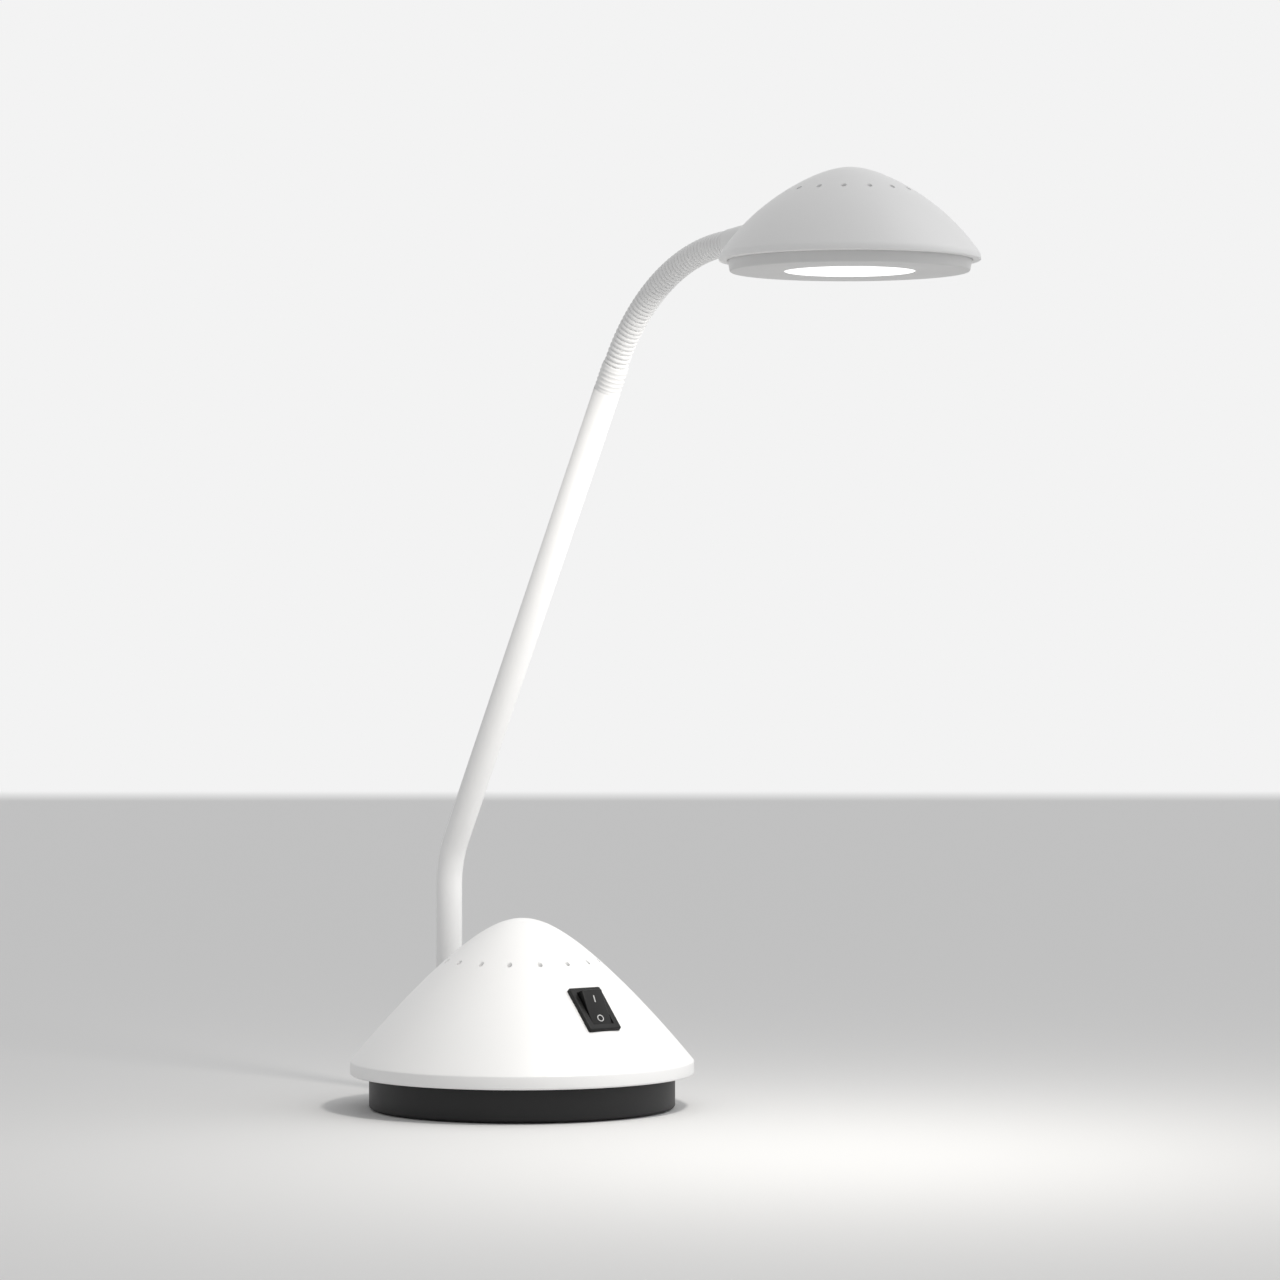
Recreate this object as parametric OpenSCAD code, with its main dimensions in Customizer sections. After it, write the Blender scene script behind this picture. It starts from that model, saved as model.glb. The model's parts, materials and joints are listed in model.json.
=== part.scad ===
// Gooseneck desk lamp: a weighted dome base, a bent tube arm, a ribbed flexible neck
// and a domed LED head with a round diffuser.
// Millimetres. The table is Z = 0 under the middle of the base, and +X points to the head.
// The arm, the neck and the head lie in the plane Y = 0.

/* [Base cover] */
// Radius of the base's rim
base_rim_r = 68.2; // [66:0.1:75]
// Height of the rim's flat underside over the table
base_rim_z = 13.7; // [12:0.1:18]
// Height of the rim's upright edge
base_lip_h = 5.1; // [3:0.1:8]
// Width of the rim's wall
base_lip_w = 3; // [2.4:0.1:4]
// Wall of the dome
base_wall = 2.2; // [1.6:0.1:3]
// Steepness of the dome's flank, as fall over run
base_slope = 1.02; // [0.9:0.01:1.1]
// Roundness of the dome's nose
base_nose = 21.5; // [15:0.5:28]
// Extra fall towards the rim
base_curl = 5.5; // [2:0.1:8]
// Thickness of the inward flange that seats on the pan
flange_t = 2; // [1.5:0.1:3]

/* [Vents] */
// Vent holes in each dome
vents = 16; // [8:1:24]
// Diameter of a vent hole
vent_d = 2; // [1:0.1:3]
// Radius of the base's ring of vents
base_vent_r = 30.3; // [26:0.1:32]
// Radius of the head's ring of vents
head_vent_r = 23.5; // [20:0.1:30]

/* [Base pan] */
// Overhang of the cover's rim past the pan
rim_overhang = 7.5; // [6:0.1:8.2]
// Wall of the pan
pan_wall = 3.5; // [3:0.1:4]
// Thickness of the pan's floor
pan_floor = 1.7; // [1.4:0.1:2.5]
// Radial play between the pan's spigot and the cover's flange
spigot_play = 0.2; // [0.1:0.05:0.4]
// Height of the spigot inside the cover
spigot_h = 4; // [2.5:0.1:5]
// Width of the pan's shoulder under the flange
shoulder_w = 1.2; // [0.8:0.1:1.6]
// Thickness of the foam pad
pad_t = 1.5; // [1:0.1:2]
// Part of the pad that stands below the pan
pad_proud = 0.5; // [0.3:0.1:0.8]
// Rim of the pan around the pad
pad_rim = 3.2; // [2:0.1:5]

/* [Ballast] */
// Thickness of the iron weight
ballast_t = 10; // [8:0.1:12]
// Play between the weight and the pan's wall
ballast_play = 0.5; // [0.3:0.1:1]

/* [Base screws] */
// Number of cover screws
cover_screw_count = 3; // [3:1:3]
// Distance of the cover screws in from the pan's side
cover_screw_inset = 13.7; // [12.7:0.1:15.7]
// Shank radius of a cover screw
screw_r = 1.75; // [1.5:0.05:2]
// Head radius of a cover screw
screw_head_r = 3.3; // [3:0.1:3.5]
// Head height of a cover screw
screw_head_h = 2.4; // [2:0.1:3]
// Radius of a boss in the cover
cover_boss_r = 4.5; // [4:0.1:5]
// Height of a screw cup in the pan
cup_h = 6; // [5.5:0.1:7]
// Depth of thread in the cover's boss
thread_depth = 12; // [8:0.5:16]

/* [Rocker switch] */
// Distance of the switch's middle in from the base's rim
switch_inset = 20.5; // [19:0.1:23]
// Length of the bezel along the slope
bezel_l = 21; // [20:0.1:22]
// Width of the bezel
bezel_w = 15; // [14.5:0.1:16]
// Height of the bezel over its seat
bezel_h = 1.7; // [1.5:0.1:2.6]
// Depth of the flat seat cut in the dome
seat_depth = 0.45; // [0.4:0.05:0.6]
// Depth of the switch body below the seat
switch_depth = 12; // [11:0.5:13]
// Step from the bezel's edge in to the body
bezel_step = 1; // [0.8:0.1:1.2]
// Play between the body and the window
window_play = 0.2; // [0.1:0.05:0.3]
// Half length of the rocker, the radius of its ends
rocker_r = 7.85; // [7.6:0.05:8]
// Width of the rocker
rocker_w = 9.4; // [9:0.1:10]
// Play around the rocker
rocker_play = 0.15; // [0.1:0.05:0.25]
// Depth of the rocker's pivot below the bezel's face
pivot_depth = 1; // [0.9:0.1:1.2]
// Height of the rocker's valley over its pivot
rocker_rise = 2; // [1.8:0.1:3]
// Tilt of the rocker each way from level
rocker_tilt = 15; // [10:0.5:16]
// Slope of the two halves of the rocker's face
rocker_vee = 2.5; // [0:0.5:5]
// Radius of the rocker's pivot pins
rocker_pin_r = 0.7; // [0.6:0.05:0.7]

/* [Cord inlet] */
// Angle of the inlet around the base
inlet_angle = 150; // [135:1:150]
// Bore of the grommet
inlet_d = 5.2; // [4:0.1:6]
// Height of the inlet over the table
inlet_z = 8.2; // [7.5:0.1:8.6]

/* [Arm] */
// Diameter of the arm's tube
tube_d = 10.5; // [9:0.1:11]
// Wall of the tube
tube_wall = 1.5; // [1:0.1:2]
// Distance of the tube's foot in from the base's rim
arm_inset = 17.4; // [17:0.1:19]
// Height of the corner where the tube's two straights would meet
arm_corner_z = 96.5; // [85:0.5:120]
// Radius of the bend along the tube's middle
arm_bend_r = 38; // [25:1:60]
// Lean of the upper straight from upright
arm_lean = 30; // [20:0.5:40]
// Length from the corner to the tube's upper end
arm_upper = 214.4; // [150:0.1:240]
// Radial play of the tube in its foot socket
foot_play = 0.1; // [0.05:0.05:0.2]
// Outer radius of the foot socket
socket_r = 7; // [6.6:0.1:7.2]
// Height of the foot socket's top over the pan's floor
socket_h = 23; // [20:0.5:23]

/* [Flexible neck] */
// Ribs on each link
rib_count = 4; // [2:1:4]
// Number of links between the two end pieces
links = 9; // [9:1:9]
// Length of a link from joint to joint
link_l = 8.2; // [8:0.1:9]
// Bend between neighbouring links at rest
link_kink = 5.6; // [4:0.1:6]
// Radius over the ribs
rib_r = 4.75; // [4.6:0.05:5]
// Radius between the ribs
root_r = 4.2; // [4.1:0.05:4.3]
// Ribs of the neck's tip between the last half link and the head's boss
cuff_ribs = 2; // [1:1:3]
// Width of a rib at its root
rib_base = 0.9; // [0.8:0.05:1]
// Width of a rib at its crest
rib_crest = 0.5; // [0.3:0.05:0.6]
// Gap between the ends of two links
link_gap = 1.4; // [1.4:0.05:1.6]
// Radius of a link's ball
ball_r = 3.3; // [3:0.05:3.4]
// Play between a ball and its cup
ball_play = 0.15; // [0.1:0.05:0.25]
// Bore of the neck
neck_bore_r = 1.5; // [1.4:0.05:1.8]
// Length of the collar between the tube and the neck
collar_l = 11.2; // [8:0.1:15]
// Ribs on the collar
collar_ribs = 5; // [3:1:6]
// Height of the collar's faint ribs
collar_rib_h = 0.2; // [0.1:0.05:0.4]
// Depth of the neck's foot inside the tube
shank_l = 14; // [10:0.5:20]
// Radial play of the neck's foot in the tube
shank_play = 0.1; // [0.05:0.05:0.2]
// Swing of each link each way from its place at rest
link_swing = 12; // [6:0.5:12]

/* [Leads] */
// Radius of the twin lead
lead_r = 1.2; // [1:0.05:1.2]
// Radius of a single switch wire
wire_r = 0.8; // [0.5:0.05:1]
// Gap between two stretches of lead at a joint of the neck
lead_gap = 0.8; // [0.6:0.1:1]

/* [Head shell] */
// Distance from the neck's end to the head's middle
head_reach = 73.7; // [70:0.1:80]
// Height of the head's rim over the neck's end
head_drop = -11.2; // [-13:0.1:-10]
// Radius of the head's rim
head_rim_r = 47.3; // [46:0.1:52]
// Height of the head's upright edge
head_lip_h = 2; // [1.5:0.1:3]
// Width of the rim's flat underside
head_lip_w = 3.1; // [2.8:0.1:4]
// Wall of the head's dome
head_wall = 2; // [1.5:0.1:2.5]
// Steepness of the dome's flank, as fall over run
head_slope = 0.61; // [0.55:0.01:0.66]
// Roundness of the dome's nose
head_nose = 14.1; // [10:0.1:18]
// Extra fall towards the rim
head_curl = 10.2; // [9:0.1:12]
// Radius of the neck boss at its free end
boss_r1 = 5; // [4.9:0.1:5.4]
// Radius of the neck boss inside the head
boss_r2 = 6.7; // [6.4:0.1:6.8]
// Reach of the neck boss past the last half link
boss_l = 50; // [48:0.5:52]

/* [Head inside] */
// Height of the bezel ring below the rim
ring_h = 4; // [3:0.1:5]
// Narrowing of the bezel ring towards its face
ring_taper = 0.7; // [0.3:0.1:1.2]
// Thickness of the bezel's face
ring_t = 1.8; // [1.5:0.1:2.2]
// Play between the bezel ring and the shell
ring_play = 0.2; // [0.1:0.05:0.3]
// Radius of the diffuser
diffuser_r = 23.5; // [20:0.1:25]
// Thickness of the diffuser
diffuser_t = 1.7; // [1.4:0.1:1.8]
// Width and thickness of the diffuser's flange
flange_d = 2; // [1.5:0.1:2.5]
// Radius of the LED board
board_r = 24; // [23:0.1:26]
// Thickness of the LED board
board_t = 1.6; // [1.2:0.1:2]
// Radius of the heat spreader
plate_r = 37; // [36:0.1:38]
// Thickness of the heat spreader
plate_t = 1.5; // [1.2:0.1:2]
// Height of the cooling fins
fin_h = 8; // [4:0.5:9]
// Radius of the circle of spreader screws
plate_screw_pcr = 33; // [30:0.5:33]

/* [Hidden] */
$fn = 64;
eps = 0.01;
steps = 26; // points along a dome's profile
lap = 0.2; // how far a straight bar runs into a bend
lap_swell = 0.02;

// Pattern angles
boss_angles = [for (i = [0:cover_screw_count - 1]) 90 + i * 360 / cover_screw_count];
head_boss_angles = [0, 120, 240];
clip_angles = [60, 180, 300];

// A dome's fall from its top at radius r: a rounded cone that steepens towards the rim.
function fall(r, slope, nose, curl, power, rim) =
    slope * (sqrt(r * r + nose * nose) - nose) + curl * pow(r / rim, power);
function steep(r, slope, nose, curl, power, rim) =
    slope * r / sqrt(r * r + nose * nose) + curl * power * pow(r / rim, power - 1) / rim;

base_power = 3;
head_power = 4;
function base_fall(r) = fall(r, base_slope, base_nose, base_curl, base_power, base_rim_r);
function base_steep(r) = steep(r, base_slope, base_nose, base_curl, base_power, base_rim_r);
function head_fall(r) = fall(r, head_slope, head_nose, head_curl, head_power, head_rim_r);
function head_steep(r) = steep(r, head_slope, head_nose, head_curl, head_power, head_rim_r);

// Base heights and radii
base_top_z = base_rim_z + base_lip_h + base_fall(base_rim_r);
function base_z(r) = base_top_z - base_fall(r);
lip_round = 0.7;
pan_r = base_rim_r - rim_overhang;
pan_z = pad_proud;
floor_z = pan_z + (pad_t - pad_proud) + pan_floor;
pan_in_r = pan_r - pan_wall;
spigot_r = pan_r - shoulder_w;
cover_screw_pcr = pan_r - cover_screw_inset;
pad_r = pan_r - pad_rim;
ballast_r = pan_in_r - ballast_play;
ballast_z = floor_z + ballast_t;
hole_play = 0.3;
thread_play = 0.05;
cup_web = 2.2;
cup_r = screw_head_r + cup_web;
screw_seat_z = cup_h - cup_web;

// Cord inlet
inlet_neck_r = inlet_d / 2 + 0.9;
inlet_lip = 1.2;
inlet_slot_l = 12;
inlet_slot_w = 11;

// Driver on the ballast
arm_foot_x = base_rim_r - arm_inset;
socket_gap = 5.8;
tray_l = 54;
tray_x = tray_l / 2 - arm_foot_x + socket_r + socket_gap;
tray_w = 36;
tray_t = 1.4;
pillar_h = 3.5;
pillar_r = 2.5;
pcb_t = 1.6;
pcb_l = 50;
pcb_w = 32;
pcb_z = ballast_z + tray_t + pillar_h;
pcb_top = pcb_z + pcb_t;
pillar_x = pcb_l / 2 - 3;
pillar_y = pcb_w / 2 - 3;
ear_y = tray_w / 2 + 5;
ear_r = 4;
small_screw_r = 1.25;
small_head_r = 2.3;
small_head_h = 1.4;
tray_thread = 6;
core_l = 16;
core_w = 12;
core_h = 12;
core_t = 2;
leg_t = 2.5;
coil_r = 5.4;
capacitors = [[12, 11, 4, 13], [12, -11, 3.2, 11], [-15, 11, 3.2, 9]]; // x, y, radius, height
can_round = 0.4;
block_l = 8;
block_w = 10;
block_h = 7;
arm_block_x = tray_x - pcb_l / 2 + block_l / 2;
mains_block_x = tray_x + pcb_l / 2 - block_l / 2;
lead_z = pcb_top + block_h / 2;
wire_y = 2.6;

// Switch: its frame has +x down the slope and +z out of the dome
switch_at_r = base_rim_r - switch_inset;
switch_lean = atan(base_steep(switch_at_r));
switch_pos = [switch_at_r, 0, base_z(switch_at_r)];
bezel_top = bezel_h - seat_depth;
pit_l = 2 * (rocker_r + rocker_play);
pit_w = rocker_w + 2 * rocker_play;
pit_floor = -5.6;
pivot_z = bezel_top - pivot_depth;
rocker_low = 3.4;
pin_play = 0.08;
pin_reach = 1.3;
terminal_w = 4.8;
terminal_t = 0.8;
terminal_l = 7;
terminal_x = 4;
crimp_r = 1.3;
lead_clear = 0.2;

// Arm
tube_r = tube_d / 2;
tube_bore_r = tube_r - tube_wall;
tube_foot_z = floor_z + 3;
bend_tangent = arm_bend_r * tan(arm_lean / 2);
lead_turn_r = 4;
lead_hole_r = lead_r + 0.9;
set_screw_r = 2;
socket_clear = 0.2;
set_screw_z = floor_z + socket_h - 4.5;

// Neck
neck_base_e = 90 - arm_lean; // elevation of the neck's first piece
half_l = link_l / 2;
rib_first = link_gap / 2 + rib_base / 2 + 0.05;
rib_pitch = (link_l - 2 * rib_first) / (rib_count - 1);
cuff_l = cuff_ribs * rib_pitch;
arm_dir = [cos(neck_base_e), 0, sin(neck_base_e)];
arm_corner = [-arm_foot_x, 0, arm_corner_z];
tube_end = arm_corner + arm_upper * arm_dir;
neck_start = tube_end + collar_l * arm_dir;
shank_r = tube_bore_r - shank_play;
collar_r = tube_r - collar_rib_h;
function elevation(k) = neck_base_e - k * link_kink;
function along(k) = [cos(elevation(k)), 0, sin(elevation(k))];
function joint_pos(k) = k == 1
    ? neck_start + half_l * along(0)
    : joint_pos(k - 1) + link_l * along(k - 1);
tip = links + 1;
neck_end = joint_pos(tip) + half_l * along(tip);

// Head
head_x = neck_end[0] + head_reach;
head_rim_z = neck_end[2] + head_drop;
head_top_z = head_rim_z + head_lip_h + head_fall(head_rim_r);
function head_z(r) = head_top_z - head_fall(r);
shell_in_r = head_rim_r - head_lip_w;
ring_r = shell_in_r - ring_play;
ring_face_z = head_rim_z - ring_h;
ring_top_z = head_rim_z + 2.6;
ring_wall = 2;
diffuser_play = 0.2;
diffuser_z = ring_face_z + 0.1;
seat_z = ring_face_z + ring_t;
flange_top = seat_z + 0.9;
board_z = flange_top + 2.4;
head_boss_r = 3;
head_thread = 6;
plate_z = board_z + board_t;
plate_top = plate_z + plate_t;
led_h = 0.8;
led_s = 2.8;
led_rings = [[0, 1], [9, 6], [17.5, 12]];
clip_play = 0.3;
clip_t = 1.4;
clip_w = 8;
nut_t = 4;
nut_r = 6;
tip_shank_l = boss_l + nut_t + 1.5;
head_lead_run = 2.5;
head_lead_turn = 4;
fin_t = 1.2;
fin_r = 14;
fins = 6;

// ---- Shared shapes -------------------------------------------------------

module ring_of(angles, radius) {
    for (a = angles) rotate([0, 0, a]) translate([radius, 0, 0]) children();
}

// Block with its upper edges and its four upright corners cut at 45 degrees, standing on z = 0.
module chamfered_block(l, w, h, c, corner) {
    intersection() {
        rotate([90, 0, 0]) translate([0, 0, -w / 2]) linear_extrude(w)
            polygon([[-l / 2, 0], [l / 2, 0], [l / 2, h - c], [l / 2 - c, h],
                     [c - l / 2, h], [-l / 2, h - c]]);
        rotate([90, 0, 90]) translate([0, 0, -l / 2]) linear_extrude(l)
            polygon([[-w / 2, 0], [w / 2, 0], [w / 2, h - c], [w / 2 - c, h],
                     [c - w / 2, h], [-w / 2, h - c]]);
        linear_extrude(h)
            polygon([[corner - l / 2, -w / 2], [l / 2 - corner, -w / 2],
                     [l / 2, corner - w / 2], [l / 2, w / 2 - corner],
                     [l / 2 - corner, w / 2], [corner - l / 2, w / 2],
                     [-l / 2, w / 2 - corner], [-l / 2, corner - w / 2]]);
    }
}

// Screw pointing up, its head's upper face at z = 0.
module screw(r, head_r, head_h, length) {
    translate([0, 0, -head_h]) difference() {
        cylinder(h = head_h, r = head_r);
        for (a = [0, 90]) rotate([0, 0, a])
            translate([-head_r / 2, -head_r / 10, -eps]) cube([head_r, head_r / 5, head_h / 2]);
    }
    translate([0, 0, -eps]) cylinder(h = length + eps, r = r);
}

// Round rod between two points.
module rod(from, to, r) {
    v = to - from;
    translate(from) rotate([0, acos(v[2] / norm(v)), atan2(v[1], v[0])])
        cylinder(h = norm(v), r = r, $fn = 24);
}

// Bend of a round bar in the XZ plane about the origin, from one angle to another. It is
// a hair fuller than the straights, which run a little way into it.
module bend(turn_r, r, from, to) {
    rotate([90, 0, 0]) rotate([0, 0, from])
        rotate_extrude(angle = to - from) translate([turn_r, 0]) circle(r = r + lap_swell);
}

// Round bar or hole along the arm's middle line, from the foot to past the tube's upper end.
module arm_run(r, z_from, beyond) {
    lower = arm_corner_z - bend_tangent;
    translate([-arm_foot_x, 0, z_from]) cylinder(h = lower + lap - z_from, r = r);
    translate([arm_bend_r - arm_foot_x, 0, lower]) bend(arm_bend_r, r, 180 - arm_lean, 180);
    translate(arm_corner + (bend_tangent - lap) * arm_dir) rotate([0, arm_lean, 0])
        cylinder(h = arm_upper - bend_tangent + lap + beyond, r = r);
}

module on_switch() {
    translate(switch_pos) rotate([0, switch_lean, 0]) children();
}

// Frame of neck piece k: +z along the piece, its origin at the joint below it.
module on_neck(k) {
    translate(k == 0 ? neck_start : joint_pos(k)) rotate([0, 90 - elevation(k), 0]) children();
}

module at_head() {
    translate([head_x, 0, 0]) children();
}

// Solid of revolution with a row of ribs; centres lists the ribs' heights.
module ribbed(z0, z1, centres) {
    rotate_extrude() polygon(concat(
        [[0, z0], [root_r, z0]],
        [for (c = centres, p = [[root_r, -rib_base / 2], [rib_r, -rib_crest / 2],
                                [rib_r, rib_crest / 2], [root_r, rib_base / 2]])
            [p[0], c + p[1]]],
        [[root_r, z1], [0, z1]]
    ));
}

module neck_cup() {
    sphere(r = ball_r + ball_play, $fn = 48);
}

module neck_ball() {
    sphere(r = ball_r, $fn = 48);
}

// Flare of the bore past a ball's middle, which clears the lead when the next link swings.
module bore_flare() {
    reach = ball_r + 1;
    cylinder(h = reach, r1 = neck_bore_r, r2 = neck_bore_r + reach * tan(link_kink + link_swing));
}

// ---- Base ----------------------------------------------------------------

module dome_solid(extra) {
    rotate_extrude() polygon(concat(
        [[0, base_rim_z]],
        [[base_rim_r - lip_round + extra, base_rim_z], [base_rim_r + extra, base_rim_z + lip_round]],
        [for (i = [steps:-1:0]) let (r = base_rim_r * i / steps)
            [r + (i == steps ? extra : 0), base_z(r)]]
    ));
}

module dome_hollow() {
    in_r = base_rim_r - base_lip_w;
    rotate_extrude() polygon(concat(
        [[0, base_rim_z - 1], [spigot_r + spigot_play, base_rim_z - 1],
         [spigot_r + spigot_play, base_rim_z + flange_t], [in_r, base_rim_z + flange_t]],
        [for (i = [steps:-1:0]) let (r = in_r * i / steps)
            [r, base_z(r) - base_wall * sqrt(1 + pow(base_steep(r), 2))]]
    ));
}

module base_cover() color("white") {
    difference() {
        union() {
            difference() {
                dome_solid(0);
                dome_hollow();
            }
            intersection() {
                dome_solid(-0.5);
                ring_of(boss_angles, cover_screw_pcr)
                    translate([0, 0, ballast_z]) cylinder(h = base_top_z, r = cover_boss_r);
            }
        }
        ring_of([for (i = [0:vents - 1]) i * 360 / vents], base_vent_r)
            translate([0, 0, ballast_z]) cylinder(h = base_top_z, d = vent_d, $fn = 24);
        ring_of(boss_angles, cover_screw_pcr)
            translate([0, 0, ballast_z - 1]) cylinder(h = thread_depth + 1, r = screw_r + thread_play);
        translate([-arm_foot_x, 0, ballast_z]) cylinder(h = base_top_z, r = tube_r + hole_play);
        on_switch() {
            translate([0, 0, bezel_h / 2 - seat_depth + 1])
                cube([bezel_l + window_play, bezel_w + window_play, bezel_h + 2], center = true);
            cube([bezel_l - 2 * bezel_step + 2 * window_play,
                  bezel_w - 2 * bezel_step + 2 * window_play, 4 * base_wall], center = true);
        }
    }
}

module inlet_frame() {
    rotate([0, 0, inlet_angle]) translate([0, 0, inlet_z]) rotate([0, 90, 0]) children();
}

module base_pan() color([0.13, 0.13, 0.14]) {
    difference() {
        union() {
            rotate_extrude() polygon([
                [0, pan_z + pad_t - pad_proud], [pad_r + hole_play, pan_z + pad_t - pad_proud],
                [pad_r + hole_play, pan_z], [pan_r - 0.6, pan_z], [pan_r, pan_z + 0.6],
                [pan_r, base_rim_z], [spigot_r, base_rim_z], [spigot_r, base_rim_z + spigot_h],
                [pan_in_r, base_rim_z + spigot_h], [pan_in_r, floor_z], [0, floor_z]
            ]);
            ring_of(boss_angles, cover_screw_pcr)
                translate([0, 0, pan_z + pad_t - pad_proud])
                    cylinder(h = cup_h - pan_z - pad_t + pad_proud, r = cup_r);
        }
        ring_of(boss_angles, cover_screw_pcr) {
            cylinder(h = screw_seat_z, r = screw_head_r + hole_play);
            cylinder(h = cup_h + 1, r = screw_r + hole_play);
        }
        inlet_frame() translate([0, 0, pan_in_r - 1])
            cylinder(h = pan_wall + 2, r = inlet_neck_r);
    }
}

module foot_pad() color([0.2, 0.2, 0.2]) {
    difference() {
        cylinder(h = pad_t, r = pad_r);
        ring_of(boss_angles, cover_screw_pcr)
            translate([0, 0, -1]) cylinder(h = pad_t + 2, r = screw_head_r + 1);
    }
}

module ballast_weight() color([0.35, 0.35, 0.36]) {
    notch = socket_r + 1;
    difference() {
        translate([0, 0, floor_z]) cylinder(h = ballast_t, r = ballast_r);
        ring_of(boss_angles, cover_screw_pcr) {
            translate([0, 0, floor_z - 1])
                cylinder(h = cup_h + hole_play - floor_z + 1, r = cup_r + hole_play);
            translate([0, 0, floor_z]) cylinder(h = ballast_t + 1, r = screw_r + hole_play);
        }
        translate([-arm_foot_x, 0, floor_z - 1]) cylinder(h = ballast_t + 2, r = notch);
        translate([-arm_foot_x - notch, -notch, floor_z - 1])
            cube([notch, 2 * notch, ballast_t + 2]);
        rotate([0, 0, inlet_angle])
            translate([ballast_r - inlet_slot_l, -inlet_slot_w / 2, floor_z - 1])
                cube([2 * inlet_slot_l, inlet_slot_w, ballast_t + 2]);
        for (s = [-1, 1]) translate([tray_x, s * ear_y, ballast_z - tray_thread])
            cylinder(h = tray_thread + 1, r = small_screw_r + thread_play);
    }
}

module cover_screws() color("silver") {
    ring_of(boss_angles, cover_screw_pcr) translate([0, 0, screw_seat_z])
        screw(screw_r, screw_head_r, screw_head_h, ballast_z + thread_depth - 1 - screw_seat_z);
}

module inlet_grommet() color([0.1, 0.1, 0.1]) {
    rim = inlet_neck_r + 1.1;
    inlet_frame() rotate_extrude() polygon([
        [inlet_d / 2, pan_in_r - inlet_lip], [rim, pan_in_r - inlet_lip], [rim, pan_in_r],
        [inlet_neck_r, pan_in_r], [inlet_neck_r, pan_r], [rim, pan_r],
        [rim, pan_r + inlet_lip / 2], [rim - inlet_lip / 2, pan_r + inlet_lip],
        [inlet_d / 2, pan_r + inlet_lip]
    ]);
}

// ---- Driver --------------------------------------------------------------

module pillars() {
    for (x = [-pillar_x, pillar_x], y = [-pillar_y, pillar_y])
        translate([tray_x + x, y, 0]) children();
}

module driver_tray() color([0.85, 0.85, 0.82]) {
    difference() {
        union() {
            translate([tray_x - tray_l / 2, -tray_w / 2, ballast_z]) cube([tray_l, tray_w, tray_t]);
            translate([tray_x - ear_r, -ear_y, ballast_z]) cube([2 * ear_r, 2 * ear_y, tray_t]);
            for (s = [-1, 1]) translate([tray_x, s * ear_y, ballast_z])
                cylinder(h = tray_t, r = ear_r);
            pillars() translate([0, 0, ballast_z]) cylinder(h = tray_t + pillar_h, r = pillar_r);
        }
        for (s = [-1, 1]) translate([tray_x, s * ear_y, ballast_z - 1])
            cylinder(h = tray_t + 2, r = small_screw_r + hole_play);
        pillars() translate([0, 0, ballast_z + tray_t])
            cylinder(h = pillar_h + 1, r = small_screw_r + thread_play, $fn = 24);
    }
}

// Screw pointing down, the underside of its head at z = 0.
module down_screw(length) {
    mirror([0, 0, 1]) screw(small_screw_r, small_head_r, small_head_h, length, $fn = 24);
}

module tray_screws() color("silver") {
    for (s = [-1, 1]) translate([tray_x, s * ear_y, ballast_z + tray_t])
        down_screw(tray_t + tray_thread - 1);
}

module driver_board() color([0.1, 0.35, 0.18]) {
    difference() {
        translate([tray_x - pcb_l / 2, -pcb_w / 2, pcb_z]) cube([pcb_l, pcb_w, pcb_t]);
        pillars() translate([0, 0, pcb_z - 1])
            cylinder(h = pcb_t + 2, r = small_screw_r + hole_play, $fn = 24);
    }
}

module board_screws() color("silver") {
    pillars() translate([0, 0, pcb_top]) down_screw(pcb_t + pillar_h - 0.3);
}

// Transformer: two flanges and two side legs of its core round the wound coil.
module driver_transformer() color([0.9, 0.75, 0.2]) {
    translate([tray_x, 0, pcb_top]) {
        for (z = [0, core_h - core_t])
            translate([-core_l / 2, -core_w / 2, z]) cube([core_l, core_w, core_t]);
        cylinder(h = core_h - eps, r = coil_r);
        for (x = [-core_l / 2, core_l / 2 - leg_t])
            translate([x, -core_w / 2, 0]) cube([leg_t, core_w, core_h]);
    }
}

module driver_capacitors() color([0.15, 0.2, 0.4]) {
    for (c = capacitors) translate([tray_x + c[0], c[1], pcb_top]) {
        cylinder(h = c[3], r = c[2]);
        translate([0, 0, c[3]]) cylinder(h = can_round, r1 = c[2], r2 = c[2] - can_round);
    }
}

module driver_terminals() color([0.15, 0.45, 0.3]) {
    for (x = [arm_block_x, mains_block_x]) difference() {
        translate([x - block_l / 2, -block_w / 2, pcb_top]) cube([block_l, block_w, block_h]);
        for (y = [-wire_y, wire_y]) translate([x, y, pcb_top + block_h - 1.5])
            cylinder(h = 2, r = 1.4, $fn = 24);
    }
}

// ---- Rocker switch -------------------------------------------------------

module pin_bar(r, half) {
    translate([0, half, pivot_z]) rotate([90, 0, 0]) cylinder(h = 2 * half, r = r, $fn = 32);
}

module switch_housing() color([0.16, 0.16, 0.17]) on_switch() {
    body_l = bezel_l - 2 * bezel_step;
    body_w = bezel_w - 2 * bezel_step;
    difference() {
        union() {
            translate([0, 0, -seat_depth])
                chamfered_block(bezel_l, bezel_w, bezel_h, 0.5, 0.7);
            translate([-body_l / 2, -body_w / 2, -seat_depth - switch_depth])
                cube([body_l, body_w, switch_depth + eps]);
        }
        translate([-pit_l / 2, -pit_w / 2, pit_floor])
            cube([pit_l, pit_w, bezel_top - pit_floor + 1]);
        pin_bar(rocker_pin_r + pin_play, rocker_w / 2 + pin_reach + pin_play);
    }
}

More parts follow.
